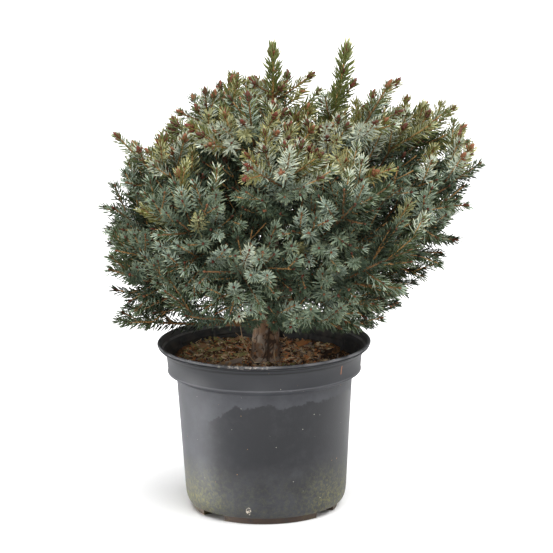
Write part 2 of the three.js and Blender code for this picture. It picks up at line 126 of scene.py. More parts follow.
# Marks on the pot: heights in metres and angles in radians from the front. A fade goes from none to full,
# a band has its middle and its outer and inner half width, and a noise its size per metre, detail and
# roughness
RAGGED = (48.0, 8.0, 0.68)
RAGGED_SIZE = 0.03
STAIN_TOP = 0.133
STAIN_DROP = 0.022
STAIN_DROP_FADE = (-0.25, -0.8)
STAIN_EDGES = [
    # raggedness and fade of its upper, left, right and lower edge
    (1.0, 0.0012, -0.0012),
    (26.0, -0.98, -0.5),
    (12.0, 1.9, 1.5),
    (3.0, 0.016, 0.085),
]
PLASTIC_ROUGHNESS = (0.56, 0.44)
COLLAR_FADE = (0.151, 0.154)
# A painted highlight along the collar's lower edge
COLLAR_EDGE_HIGHLIGHT = (0.153, 0.0009, 0.0004)
ALGAE_FADE = (0.075, 0.012)
ALGAE_LEFT_FADE = (-0.35, -0.95)
ALGAE_RIGHT_FADE = (0.35, 0.85)
ALGAE_AT_FRONT = 0.28
FOOT_DIRT_FADE = (0.009, 0.005)
SPECK_SCALE = 170.0
SPECK_SIZE = 0.1
SPECK_FADE = (0.66, 0.68)
RUSTY_SPECK_FADE = (0.55, 0.6)
PALE_SPECK = (176, 172, 160)
RUSTY_SPECK = (168, 122, 70)
SPECK_STRENGTH = 0.7
SMEAR_PLACE = (-0.019, 0.0165)
SMEAR_SIZE = (0.003, 0.0052)
SMEAR_FADE = (1.0, 0.6)
FRONT_FADE = (0.0, -0.001)
WORN_LIP_FADE = (0.1785, 0.1805)
WORN_LIP_LEFT_FADE = (-0.5, -0.36)
WORN_LIP_RIGHT_FADE = (0.12, -0.02)
SCRATCH = (0.89, 0.008, 0.004)
SCRATCH_LOW_FADE = (0.1605, 0.1615)
SCRATCH_TOP_FADE = (0.171, 0.17)
# A painted highlight on the rounded bead at the top of the lip
BEAD_HIGHLIGHT_FADE = (0.1795, 0.1825)
# Painted shade in two lines: in the lip's groove and under its step
LIP_SHADE_LINES = [(0.1772, 0.0011, 0.0005), (0.1724, 0.0011, 0.0005)]
# Painted light: the inner side lighter near the top, where more light falls
INNER_LIP_LIGHT_FADE = (0.17, 0.176)
# A painted highlight along the inner edge under the lip
INNER_EDGE_HIGHLIGHT = (0.1754, 0.0011, 0.0005)

# Soil; its mound and its dip each have a place, x and y, and a size
SOIL_Z = 161.0
SOIL_CLEARANCE = 0.4
SOIL_BUMP = 1.6
SOIL_WAVE = 47.0
SOIL_FLAT_RADIUS = 25.0
SOIL_RINGS = 44
SOIL_SIDES = 132
SOIL_MOUND = 7.0
SOIL_MOUND_PLACE = (-52.0, 48.0, 34.0)
SOIL_DIP = 6.5
SOIL_DIP_PLACE = (84.0, 24.0, 26.0)
SOIL_GRAIN = 1.5
SOIL_GRAIN_SIZE = 5.0
SOIL_SMOOTH_EDGE = 4.0

# Bark chips; a flake is a large one with a place of its own
CHIP_TINTS = [
    (178, 142, 108), (206, 144, 100), (226, 202, 166), (158, 152, 104), (150, 134, 120), (74, 58, 48)
]
CHIP_SHARES = (0.26, 0.16, 0.18, 0.06, 0.2, 0.14)
MOSSY_TINT = 3
MOSSY_CHANCE = 0.3
MOSSY_BEYOND = (-20.0, -10.0)
# The dark tint of chips in the dip: damp soil, and painted shade by the wall
DAMP_SHADE_TINT = 5
DAMP_SHADE_CHANCE = 0.8
DAMP_SHADE_FROM = 0.35
CHIP_COUNT = 2600
CHIP_LENGTH = (2.0, 10.0)
CHIP_LENGTH_POWER = 2.2
CHIP_LEAST_WIDTH = 0.7
CHIP_WIDTHS = (0.1, 0.42)
CHIP_THICKNESS = (0.4, 1.2)
CHIP_LIFT = (0.3, 2.2)
CHIP_TILT = 0.45
CHIP_FREE_MIDDLE = 0.032
CHIP_UNEVENNESS = (0.7, 1.15)
CHIP_WARP = 0.05
CHIP_WARP_TURN = 3.0
CHIP_WARP_STARTS = (0, 6)
CHIP_EDGE = 1.0
FLAKE_LIFT = 3.0
FLAKE_TILT = (0.3, -0.16)
FLAKE_THICKNESS = 1.6
FLAKES = [
    # x, y, yaw, length, width, tint
    (-36.0, -20.0, 14.0, 24.0, 8.0, 4),
    (-54.0, 22.0, -20.0, 17.0, 6.0, 3),
    (41.0, 58.0, 30.0, 12.0, 7.0, 1),
    (46.0, 62.0, -50.0, 9.0, 5.0, 1),
    (-66.0, 34.0, 40.0, 13.0, 6.0, 0),
    (58.0, 12.0, 65.0, 14.0, 4.0, 0),
]

# Dry stalks that stand in the soil, each from its foot to its top
STALKS = [
    # foot, top, bow, radius
    ((-8.0, -15.0, 160.0), (-25.0, -12.0, 202.0), (-3.0, 0.0, -3.0), 0.6),
    ((30.0, 3.0, 160.0), (21.0, 4.0, 188.0), (1.5, 0.0, 1.0), 0.55),
    ((-22.0, 58.0, 161.0), (-31.0, 56.0, 178.0), (2.0, 0.0, 1.0), 0.5),
    ((13.5, -16.0, 160.0), (11.0, -15.5, 176.0), (-1.2, 0.0, 0.0), 0.6),
]
STALK_SIDES = 6
STALK_STEPS = 9
STALK_TAPER = 0.35

# Trunk
TRUNK_FOOT_RADIUS = 15.0
TRUNK_TIP_RADIUS = 2.4
TRUNK_TAPER_POWER = 1.2
ROOT_FLARE = 3.0
ROOT_FLARE_FADE = 9.0
ROOT_DEPTH = 2.0
TRUNK_LOBES = 3
TRUNK_LOBE_DEPTH = 0.06
TRUNK_POINTS = np.array(
    [[0.0, 0.0, SOIL_Z - ROOT_DEPTH], [0.8, 0.0, 181.0], [5.0, -2.0, 250.0], [13.0, 4.0, 442.0]]
)
TRUNK_FOOT = TRUNK_POINTS[0]
TRUNK_TIP = TRUNK_POINTS[-1]
TRUNK_SAMPLES = 600
TRUNK_SIDES = 72
TRUNK_STEP = 1.6
PLATE_WIDTH = 6.0
PLATE_HEIGHT = 14.0
PLATE_RELIEF = 0.8
PLATE_BEND = 7.0
CRACK_WIDTH = 0.22
BARK_GRAIN = 0.35
BARK_GRAIN_SIZE = 2.2
BARK_GRAIN_SHADE = 0.25
END_RELIEF = 0.5
SEAM_ANGLE = -70.0
SEAM_WIDTH = 13.0
SEAM_DEPTH = 3.2
SEAM_WANDER = 9.0
SEAM_WAVE = 40.0
SEAM_ROW = 3.0

# Limbs: sizes with three values hold on the -X side, on the +X side, and at the front and back
TIERS = [
    # name, height, count, turn, rise, reach, sag
    ("skirt", 204, 6, 180, (1, 5, 16), (168, 150, 162), 0.05),
    ("lower", 224, 7, 206, (16, 22, 24), (190, 222, 188), 0.05),
    ("middle", 247, 6, 0, (24, 30, 32), (191, 259, 218), 0.05),
    ("upper", 270, 4, 6, (42, 39, 41), (224, 266, 226), 0.06),
    ("top", 296, 4, -18, (62, 52, 62), (186, 232, 186), 0.08),
    ("second_leader", 318, 1, 0, (67, 67, 67), (210, 210, 210), 0.18),
]
BOUGH_SHARE = 0.38
BOUGH_ROOT_RADIUS = 4.2
BOUGH_TIP_RADIUS = 2.1
BOUGH_STAGGER = 7.0
TURN_SCATTER = 5.0
REACH_SCATTER = 0.04
BOUGH_SIDES = 14
BOUGH_STEP = 3.0
LEAST_RINGS = 4
BOUGH_RELIEF = 0.45
BOUGH_GRAIN_SIZE = 2.4
BOUGH_SHADE = 0.6
BOUGH_COLLAR = 2.2
BOUGH_COLLAR_FADE = 7.0
LEADER_LENGTH = 72.0
LEADER_LEAN = 1.0

# Twigs of the solids: how many, their first and last share of the stem, spread, growth and least length
TWIGS = (10, 0.43, 0.83, 48.0, 0.42, 36.0)
LEADER_TWIGS = (6, 0.03, 0.16, 66.0, 0.0, 36.0)
TWIG_TURN = 137.5
TWIG_TURN_SCATTER = 14.0
SPREAD_SCATTER = 12.0
TWIG_LENGTH_SCATTER = 0.12
TWIG_TRIES = (1.2, 1.0, 0.75)
SPRAY_LENGTH = 42.0
SPRAY_RADIUS = 12.5
SPRAY_END_TAPER = 0.22
SPRAY_CORE = 2.2
SPRAY_SIDES = 4
SPRAY_ROWS = 4
FIRST_ROW = 0.08
LAST_ROW = 0.84
NEEDLE_SWEEP = 7.0

# Room for the twigs of the solids: its roof, its underside and its reach round the trunk
ROOF_Z = 478.0
ROOF_X = 45.0
ROOF_FALL = 0.0016
UNDERSIDE_Z = 197.0
UNDERSIDE_SLOPE = 0.28
UNDERSIDE_BEND_X = 70.0
UNDERSIDE_BEND = 0.003
CROWN_ROOT = np.array([4.0, 0.0, 240.0])
CROWN_RADIUS = (174.0, 242.0, 205.0)
SPACE_MARGIN = 0.8
LIMB_MARGIN = 1.5
TRUNK_MARGIN = 4.0

# Finer twigs, that wind up the stems and then the twigs by the same rule where there is room
FINE_SEED = 500
FINE_ROUNDS = [
    (30, 0.12, 0.93, 48.0, 0.32, 38.0),
    (11, 0.2, 0.88, 48.0, 0.38, 30.0),
    (6, 0.25, 0.82, 48.0, 0.35, 27.0),
]
FINE_ROOM = 13.4
FINE_TRIES = (1.0, 0.75)
FINE_OUTWARD = 0.7
OUTWARD_WEIGHTS = np.array([0.65, 1.3, 0.9])
TWIG_BEND = 0.22
LEAST_TWIG = 0.5
FINE_BEND = 0.12
TIP_ROOM = 6.0
LEADER_TIP_ROOM = 19.0
SHORT_STEMS = {"lower_4": 30.0, "top_1": 18.0, "top_3": 28.0, "upper_1": 13.0}
LEADER_ROOM = 27.0
LEADER_SHARE = 0.55
# How far the finer twigs go from the trunk at each height, towards -X and towards +X
FINE_HEIGHTS = (200, 222, 247, 274, 307, 341, 367, 394, 412, 428, 440, 454, 468)
FINE_LEFT = (148, 134, 152, 158, 162, 150, 146, 118, 94, 78, 66, 56, 46)
FINE_RIGHT = (118, 134, 168, 190, 202, 213, 223, 231, 218, 200, 172, 128, 100)
# How high and how low they go at each place along X
FINE_PLACES = (-170, -110, -85, -60, -35, 0, 40, 80, 120, 190, 240)
FINE_ROOF = (390, 410, 421, 446, 464, 455, 431, 437, 437, 422, 398)
FINE_ROOF_FALL = 0.0013
FINE_UNDERSIDE = (198, 204, 214, 210, 201, 199, 197, 194, 191, 189, 189)
FINE_UNDERSIDE_SLOPE = 0.22
FINE_OVERSHOOT = 8.0
FINE_LUMP = 50.0
FINE_LUMP_DEPTH = 14.0
# Places where the twigs stand further apart: one where the sky shows, and three dark hollows at the front;
# the sprays in them get the dark tints of painted shade
OPEN_PLACES = np.array(
    [[-52.0, -60.0, 236.0], [-28.0, -118.0, 352.0], [32.0, -118.0, 358.0], [76.0, -112.0, 352.0]]
)
OPEN_SIZES = np.array([58.0, 36.0, 36.0, 32.0])
OPEN_ROOMS = np.array([0.9, 0.4, 0.4, 0.4])
# Shoots that stand out by themselves: where each leaves the twig that is nearest, and its tip
LONE_SHOOTS = [
    ((26.0, 0.0, 440.0), (52.0, 0.0, 470.0)),
    ((86.0, 0.0, 426.0), (97.0, 0.0, 460.0)),
    ((112.0, 0.0, 430.0), (143.0, 0.0, 461.0)),
    ((-125.0, -5.0, 240.0), (-157.0, -8.0, 243.0)),
    ((196.0, 0.0, 350.0), (221.0, 0.0, 361.0)),
    ((158.0, 0.0, 270.0), (184.0, 0.0, 273.0)),
]
LONE_SAG = 2.0
LONE_ORDER = 2
TESTED_SHARES = np.array([0.5, 0.66, 0.83, 1.0])
SAMPLE_STEP = 7.0
LEAST_SAMPLES = 3
LENGTH_SAMPLES = 33
TWIG_SIDES = 5
TWIG_RINGS = 4
TWIG_RADII = [(1.9, 0.9), (1.3, 0.8), (0.95, 0.65), (0.8, 0.6)]

# Needles: straight-sided, with a waxy flat face towards the shoot's tip and a ridged back
NEEDLES_PER_MM = 1.62
INNER_NEEDLES_PER_MM = 1.0
LEADER_NEEDLES_PER_MM = 2.3
BARE_FOOT = 5.0
MOST_BARE = 0.2
TIP_NEEDLES = 8
TIP_SHARES = (0.94, 1.0)
TIP_REACH = 45.0
TIP_ANGLES = (26.0, 54.0)
LEADER_TIP_ANGLES = (8.0, 30.0)
TIP_SHORTENING = 0.22
LEADER_TIP_SHORTENING = 0.08
GOLDEN_TURN = math.radians(137.5)
ROLL_SCATTER = 0.2
NEEDLE_LENGTH = 13.4
NEEDLE_LENGTH_SCATTER = 0.09
NEEDLE_WIDTH = 1.3
NEEDLE_FOOT = 0.6
NEEDLE_SHOULDER = 0.78
NEEDLE_RIDGE = 0.5
NEEDLE_THICKNESS = 0.7
NEEDLE_BEND = 0.1
NEEDLE_ANGLES = (64.0, 38.0)
LEADER_NEEDLE_ANGLES = (50.0, 30.0)
LEADER_NEEDLE_SCALE = 1.3
LEADER_TOP = 16.0
NEEDLE_ANGLE_SCATTER = 7.0
NEEDLE_TWIST = 20.0
NEEDLE_LIFT = 0.08
NEEDLE_DROOP = 0.35
UPPER_CLOSING = 0.3
UPPER_SHORTENING = 0.18
LIMBS_PER_PIECE = 3
# Triangles of a needle's face, of its back and of its tip; its points are two at the foot, two at the
# shoulder, one on the back's ridge and the tip
NEEDLE_FACES = [
    [(0, 1, 3), (0, 3, 2)],
    [(1, 0, 4), (3, 1, 4), (0, 2, 4), (5, 3, 4), (2, 5, 4)],
    [(2, 3, 5)],
]
# The same three sides with their roughness and shine
NEEDLE_SIDES = [("face", 0.6, 0.25), ("back", 0.45, 0.4), ("tip", 0.5, 0.3)]
# Tints that are dealt out by spray, with the colours of the three sides; they run from pale to dark and are
# dealt by place as painted sunlight and painted shade
TINTS = {
    "silver": ((185, 195, 178), (96, 104, 60), (198, 198, 164)),
    "blue": ((150, 166, 150), (67, 80, 47), (162, 170, 140)),
    "grey": ((118, 134, 114), (54, 66, 36), (132, 140, 110)),
    "olive": ((158, 161, 122), (112, 110, 54), (182, 174, 112)),
    "painted_shade": ((66, 81, 64), (31, 41, 22), (74, 84, 58)),
    "leader": ((156, 163, 120), (102, 110, 58), (182, 178, 120)),
}
LEADER_TINT = 5
# The darker tint that each tint has further from the shoot's tip, where the needles are older and the darker
# tint is also painted shade deeper in the spray
OLDER_SHADED_TINT = np.array([1, 2, 4, 2, 4, 5])
OLDER_SHADED_FROM = 32.0
OLDER_SHADED_SCATTER = 4.0
# How often each of the first five tints comes up at a place in the crown: the top gets the pale tints as
# painted sunlight, and low down and deep inside the darker ones as painted shade
TINT_SHARES = {
    "sunny": (0.54, 0.05, 0.0, 0.41, 0.0),
    "side": (0.06, 0.32, 0.38, 0.02, 0.22),
    "low": (0.01, 0.21, 0.43, 0.0, 0.35),
    "inner": (0.0, 0.04, 0.22, 0.0, 0.74),
}
# Heights and depths that part the painted sunlight on top from the painted shade low down and deep inside
SUNNY_Z = 385.0
LOW_Z = 316.0
INNER_DEPTH = 36.0
HOLLOW_ROOM = 1.2

# Buds: a fat one at a shoot's tip with smaller ones round it
BUD_LENGTH = 7.0
BUD_RADIUS = 2.1
BUD_SIDES = 5
BUD_OUTLINE = [(0.0, 0.75), (0.32, 1.0), (0.7, 0.62)]
BUD_SINK = 0.6
BUD_CHANCE = 0.94
INNER_BUD_CHANCE = 0.5
BUD_SCALES = (0.55, 0.85)
HIGH_BUD_SCALES = (1.15, 1.5)
HIGH_BUD_Z = 385.0
HIGH_BUD_ORDERS = 3
LEADER_BUD = 1.5
SIDE_BUDS = (0, 3)
HIGH_SIDE_BUDS = (3, 5)
SIDE_BUD_SCALE = 0.72
SIDE_BUD_SCALES = (0.8, 1.1)
SIDE_BUD_SPREAD = 46.0
SIDE_BUD_SPREAD_SCATTER = 8.0
SIDE_BUD_ROLL_SCATTER = 0.25
SIDE_BUD_DROP = (0.3, 3.0)
LONE_BUDS = (0, 2)
LONE_BUD_SHARES = (0.45, 0.92)
LONE_BUD_SPREAD = 50.0
LONE_BUD_LIFT = 0.5
LONE_BUD_SCALES = (0.6, 0.9)
WHORL_DROP = 22.0
WHORL_COUNT = 7
WHORL_SCALE = 1.25
WHORL_SCATTER = 0.02

# Plain materials: name, colour and roughness; colours are sRGB numbers from 0 to 255
WOOD_LOOKS = [
    ("stem_bark", (124, 92, 60), 0.85),
    ("twig_bark", (124, 90, 58), 0.75),
    ("shoot_bark", (178, 134, 84), 0.7),
]
BUD_LOOKS = [
    ("bud_red", (98, 48, 34), 0.7),
    ("bud_brown", (84, 47, 34), 0.7),
    ("bud_pale", (122, 78, 52), 0.7),
]
STRAW_LOOK = ("dry_straw", (168, 140, 104), 0.8)
CHIP_FINISH = (0.9, 0.15)

# Colours of bark: on the plates, between them, the painted shade in the cracks, and on flakes
TRUNK_BARK = ("trunk_bark", (129, 116, 103), (113, 88, 68), (46, 35, 28), (144, 99, 64))
BOUGH_BARK = ("bough_bark", (124, 92, 66), (104, 72, 48), (44, 30, 22), (150, 102, 62))
# Painted shade where the bark's relief is low, in its cracks
CRACK_SHADE_FADE = (0.5, 0.05)
CRACK_SHADE_STRENGTH = 0.85

# The two colours of each other material, the second one in patches over the first
PLASTIC = [(44, 45, 49), (56, 57, 61)]
INNER_PLASTIC = [(64, 64, 65), (86, 83, 80)]
COMPOST = [(84, 64, 46), (144, 106, 74)]

# Marks that are painted over a material: colour and strength
MARKS = {
    "stain": ((25, 26, 29), 0.95),
    "collar": ((34, 35, 38), 0.8),
    # A painted highlight along the collar's lower edge
    "collar_edge_highlight": ((96, 96, 100), 0.4),
    "algae": ((112, 110, 56), 0.6),
    "foot_dirt": ((74, 54, 40), 0.6),
    "smear": ((196, 186, 168), 0.8),
    "worn_lip": ((170, 162, 152), 0.75),
    "scratch": ((160, 100, 62), 0.7),
    # A painted highlight on the rounded bead at the top of the lip
    "bead_highlight": ((150, 150, 152), 0.4),
    # Painted shade in the lip's groove and under its step
    "lip_shade_line": ((9, 9, 10), 1.0),
    "inner_dirt": ((88, 78, 66), 1.0),
    # Painted light on the inner side near the top
    "inner_lip_light": ((104, 104, 106), 0.8),
    # A painted highlight along the inner edge under the lip
    "inner_edge_highlight": ((168, 168, 170), 0.8),
    "crumbs": ((186, 146, 102), 1.0),
}

# Patches that come and go with a noise: its size per metre, where they fade in, and its detail and
# roughness where they differ from the usual ones
PATCHES = {
    "bark": (90.0, 0.4, 0.62),
    "flakes": (260.0, 0.58, 0.7),
    "dust": (30.0, 0.35, 0.7, 6.0, 0.65),
    "stain": (70.0, -0.1, 0.55, 8.0, 0.7),
    "algae": (260.0, 0.42, 0.66, 9.0, 0.8),
    "foot_dirt": (120.0, 0.2, 0.5),
    "smear": (330.0, 0.46, 0.58, 5.0),
    "worn_lip": (260.0, 0.5, 0.6, 5.0),
    # Patches of the painted highlight on the lip's bead
    "bead_highlight": (60.0, 0.3, 0.65, 4.0),
    "inner_dust": (70.0, 0.4, 0.7, 5.0),
    "inner_dirt": (300.0, 0.62, 0.74, 5.0),
    # Patches of the painted highlight along the inner edge
    "inner_edge_highlight": (40.0, 0.25, 0.6, 4.0),
    "compost": (220.0, 0.35, 0.65, 5.0),
    "crumbs": (420.0, 0.6, 0.72, 4.0),
}

# Fine bumps of a material: their size per metre, detail, strength and depth in metres
BARK_BUMP = (900.0, 5.0, 0.5, 0.0006)
PLASTIC_BUMP = (700.0, 4.0, 0.12, 0.0008)
INNER_BUMP = (420.0, 5.0, 0.3, 0.001)
COMPOST_BUMP = (500.0, 6.0, 0.8, 0.002)


# Numbers

def lerp(a, b, share):
    return a + (b - a) * share


def smoothstep(low, high, x):
    share = np.clip((x - low) / (high - low), 0, 1)
    return share * share * (3 - 2 * share)


def bell(distance, size):
    """1 in the middle, and falling off to 0 all round."""
    return np.exp(-((distance / size) ** 2))


def unit(v):
    return v / np.linalg.norm(v, axis=-1, keepdims=True)


def angles_round(sides):
    return WHOLE_TURN * np.arange(sides) / sides


def seeded(number):
    """Even numbers from 0 to 1, the same on every run for one seed, by the rule of the solids' source."""
    step, factor, addend = 7919, 1664525, 1013904223
    state = (SEED + number * step) % 2**32
    while True:
        state = (state * factor + addend) % 2**32
        yield (state >> 8) / 2**24


def scatter(random):
    return 2 * next(random) - 1


def scattered(size, share, random):
    return size * (1 + share * scatter(random))


# Meshes

def in_scene(name, data):
    """A new object of the scene."""
    made = bpy.data.objects.new(name, data)
    bpy.context.scene.collection.objects.link(made)
    return made


class Shapes:
    """Points and faces of many small shapes that make one piece."""

    def __init__(self):
        self.points = []
        self.polygons = []
        self.slots = []
        self.count = 0

    def add(self, points, polygons, slot=0):
        """Adds points and faces; faces come as arrays with one row of corners each."""
        for corners in polygons:
            self.polygons.append(np.asarray(corners) + self.count)
            self.slots.append(np.broadcast_to(slot, len(corners)))
        self.points.append(points)
        self.count += len(points)

    def make(self, name, materials, smooth=True):
        """The piece as an object of the scene, in metres."""
        points = np.concatenate(self.points) * MM
        corners = np.concatenate([p.ravel() for p in self.polygons])
        sizes = np.concatenate([np.full(len(p), p.shape[1]) for p in self.polygons])
        mesh = bpy.data.meshes.new(name)
        mesh.vertices.add(len(points))
        mesh.vertices.foreach_set("co", points.astype(np.float32).ravel())
        mesh.loops.add(len(corners))
        mesh.loops.foreach_set("vertex_index", corners.astype(np.int32))
        mesh.polygons.add(len(sizes))
        mesh.polygons.foreach_set("loop_start", (np.cumsum(sizes) - sizes).astype(np.int32))
        mesh.polygons.foreach_set("material_index", np.concatenate(self.slots).astype(np.int32))
        mesh.polygons.foreach_set("use_smooth", np.full(len(sizes), smooth))
        mesh.update(calc_edges=True)
        for material in materials:
            mesh.materials.append(material)
        return in_scene(name, mesh)


def make_one(name, shape, materials):
    """A piece with one shape."""
    shapes = Shapes()
    shapes.add(*shape)
    return shapes.make(name, materials)


def skin(rings, first_pole=None, last_pole=None):
    """Points and faces over rings of equally many points, closed by a pole at each end that has one."""
    rows, sides = rings.shape[:2]
    number = np.arange(rows * sides).reshape(rows, sides)
    after = np.roll(number, -1, axis=1)
    quads = np.stack([number[:-1], after[:-1], after[1:], number[1:]], axis=-1).reshape(-1, 4)
    points = [rings.reshape(-1, 3)]
    polygons = [quads]
    poles = rows * sides
    if first_pole is not None:
        points.append(first_pole[None])
        polygons.append(np.stack([after[0], number[0], np.full(sides, poles)], axis=-1))
        poles += 1
    if last_pole is not None:
        points.append(last_pole[None])
        polygons.append(np.stack([number[-1], after[-1], np.full(sides, poles)], axis=-1))
    return np.concatenate(points), polygons


def sides_of(tangents):
    """Two directions across each tangent."""
    across = np.cross(np.array([0.0, 1.0, 0.0]), tangents)
    weak = np.linalg.norm(across, axis=-1) < 0.1
    across[weak] = [1.0, 0.0, 0.0]
    across = unit(across)
    return across, np.cross(tangents, across)


def tube(middles, tangents, radii, sides):
    """Rings along a row of middles; radii have one number for each ring, or for each of its points."""
    across, upward = sides_of(tangents)
    angles = angles_round(sides)
    radii = np.asarray(radii)
    if radii.ndim == 1:
        radii = radii[:, None] * np.ones(sides)
    rings = middles[:, None] + across[:, None] * (radii * np.cos(angles))[..., None]
    return rings + upward[:, None] * (radii * np.sin(angles))[..., None]


def stick(middles, tangents, radii, sides):
    """Points and faces of a round stick along a row of middles."""
    return skin(tube(middles, tangents, radii, sides), middles[0], middles[-1])


# Growth rule, as in the source of the solids

def catmull(points, share):
    """A point of the smooth curve through the points."""
    count = len(points)
    place = (count - 1) * share
    first = min(int(place), count - 2)
    weight = place - first
    before = points[first - 1] if first > 0 else 2 * points[0] - points[1]
    after = points[first + 2] if first + 2 < count else 2 * points[-1] - points[-2]
    start, end = points[first], points[first + 1]
    steps = [np.sum((b - a) ** 2) ** 0.25 for a, b in ((before, start), (start, end), (end, after))]
    rise = (start - before) / steps[0] - (end - before) / (steps[0] + steps[1]) + (end - start) / steps[1]
    fall = (end - start) / steps[1] - (after - start) / (steps[1] + steps[2]) + (after - end) / steps[2]
    rise, fall = rise * steps[1], fall * steps[1]
    square = (3 * (end - start) - 2 * rise - fall) * weight**2
    return start + rise * weight + square + (2 * (start - end) + rise + fall) * weight**3


TRUNK_LINE = np.array([catmull(TRUNK_POINTS, share) for share in np.linspace(0, 1, TRUNK_SAMPLES)])


def trunk_middle(z):
    """The middle of the trunk at each height."""
    places = [np.interp(z, TRUNK_LINE[:, 2], TRUNK_LINE[:, axis]) for axis in (0, 1)]
    return np.stack([*places, np.asarray(z, float)], axis=-1)


def trunk_radius(z, angle):
    height = np.minimum(z, TRUNK_TIP[2]) - TRUNK_FOOT[2]
    share = height / (TRUNK_TIP[2] - TRUNK_FOOT[2])
    taper = lerp(TRUNK_FOOT_RADIUS, TRUNK_TIP_RADIUS, np.maximum(share, 0) ** TRUNK_TAPER_POWER)
    flare = ROOT_FLARE * np.exp(-height / ROOT_FLARE_FADE)
    return (taper + flare) * (1 + TRUNK_LOBE_DEPTH * np.cos(TRUNK_LOBES * angle))


def round_trunk(sizes, azimuth):
    """A size that is known on the -X side, on the +X side, and at the front and back."""
    left, right, front_and_back = sizes
    side = lerp(left, right, (1 + np.cos(azimuth)) / 2)
    return lerp(side, front_and_back, np.sin(azimuth) ** 2)


class Bow:
    """A bowed line from one point to another, pulled towards a third."""

    def __init__(self, start, pull, end):
        self.start, self.pull, self.end = start, pull, end

    def point(self, share):
        share = np.asarray(share, float)[..., None]
        return (1 - share) ** 2 * self.start + 2 * share * (1 - share) * self.pull + share**2 * self.end

    def tangent(self, share):
        share = np.asarray(share, float)[..., None]
        return unit((1 - share) * (self.pull - self.start) + share * (self.end - self.pull))

    def length(self):
        places = self.point(np.linspace(0, 1, LENGTH_SAMPLES))
        return np.linalg.norm(np.diff(places, axis=0), axis=1).sum()

    def inner(self, share):
        """The line as far as a share."""
        return Bow(self.start, lerp(self.start, self.pull, share), self.point(share))

    def outer(self, share):
        """The rest of the line from a share on."""
        return Bow(self.point(share), lerp(self.pull, self.end, share), self.end)


Limb = namedtuple("Limb", "name tier line reach random")


def limb_line(start, azimuth, rise, reach, sag):
    level = np.array([math.cos(azimuth), math.sin(azimuth), 0.0])
    way = level * math.cos(rise) + UP * math.sin(rise)
    down = level * math.sin(rise) - UP * math.cos(rise)
    return Bow(start, start + way * reach / 2 + down * sag * reach, start + way * reach)


def make_limbs():
    """Every limb of the crown with its own row of random numbers, and last the leader on the trunk's tip."""
    limbs = []
    for tier, z, count, first_turn, rises, reaches, sag in TIERS:
        for i in range(count):
            random = seeded(len(limbs) + 1)
            azimuth = math.radians(first_turn + 360 / count * i + TURN_SCATTER * scatter(random))
            rise = math.radians(round_trunk(rises, azimuth))
            reach = scattered(round_trunk(reaches, azimuth), REACH_SCATTER, random)
            start = trunk_middle(z + BOUGH_STAGGER * (i % 2))
            name = f"{tier}_{i + 1}" if count > 1 else tier
            limbs.append(Limb(name, tier, limb_line(start, azimuth, rise, reach, sag), reach, random))
    foot = TRUNK_TIP + UP * GAP
    tip = foot + np.array([LEADER_LEAN, 0.0, LEADER_LENGTH])
    line = Bow(foot, (foot + tip) / 2, tip)
    return [*limbs, Limb("leader", "leader", line, LEADER_LENGTH, seeded(0))]


LIMBS = make_limbs()
LEADER = len(LIMBS) - 1


def outer_line(limb, share):
    """The ends of a limb's straight line from a share on, or of the whole leader."""
    return limb.line.point(0 if limb.tier == "leader" else share), limb.line.end


BOUGH_LINES = np.array([(limb.line.point(0), limb.line.point(BOUGH_SHARE)) for limb in LIMBS[:-1]])
OUTER_LINES = np.array([outer_line(limb, BOUGH_SHARE) for limb in LIMBS])
LEADER_LINES = np.array([outer_line(limb, LEADER_SHARE) for limb in LIMBS[-2:]])


def distances(points, lines):
    """The distance of each point to each straight line."""
    start = lines[:, 0]
    along = lines[:, 1] - start
    share = np.einsum("nmk,mk->nm", points[:, None] - start, along) / np.sum(along**2, axis=1)
    nearest = start + np.clip(share, 0, 1)[..., None] * along
    return np.linalg.norm(points[:, None] - nearest, axis=-1)


def is_in_crown(points):
    x, y, z = np.moveaxis(points, -1, 0)
    roof = ROOF_Z - ROOF_FALL * ((x - ROOF_X) ** 2 + y**2)
    bend = UNDERSIDE_BEND * np.maximum(0, x - UNDERSIDE_BEND_X) ** 2
    low = UNDERSIDE_Z + UNDERSIDE_SLOPE * np.abs(y) + bend
    radius = round_trunk(CROWN_RADIUS, np.arctan2(y, x))
    return (z > low) & (z < roof) & (np.hypot(x, y) < radius)


def is_off_wood(points):
    """Whether each point is clear of the trunk and the boughs."""
    z = points[:, 2]
    off_trunk = np.linalg.norm(trunk_middle(z) - points, axis=1) >= trunk_radius(z, 0) + TRUNK_MARGIN
    off_boughs = (distances(points, BOUGH_LINES) >= BOUGH_ROOT_RADIUS + LIMB_MARGIN).all(axis=1)
    return (off_trunk | (z >= TRUNK_TIP[2])) & off_boughs


def is_free(points, own):
    """Whether each point is in the crown, off the wood, and nearest to its own limb."""
    clear = is_in_crown(points) & is_off_wood(points)
    apart = distances(points, OUTER_LINES)
    own_distance = apart[:, own].copy()
    apart[:, own] = np.inf
    return clear & (apart > own_distance[:, None] + SPACE_MARGIN).all(axis=1)


def turned_about(v, axis, angle):
    across = np.cross(axis, v) * math.sin(angle)
    return v * math.cos(angle) + across + axis * np.dot(axis, v) * (1 - math.cos(angle))


def side_way(tangent, spread, roll):
    """The direction that leaves a stem at an angle, turned round the stem by a roll."""
    side = np.cross(tangent, UP)
    if np.linalg.norm(side) < 0.05:
        side = np.array([1.0, 0.0, 0.0])
    side = turned_about(unit(side), tangent, roll)
    return tangent * math.cos(spread) + side * math.sin(spread)


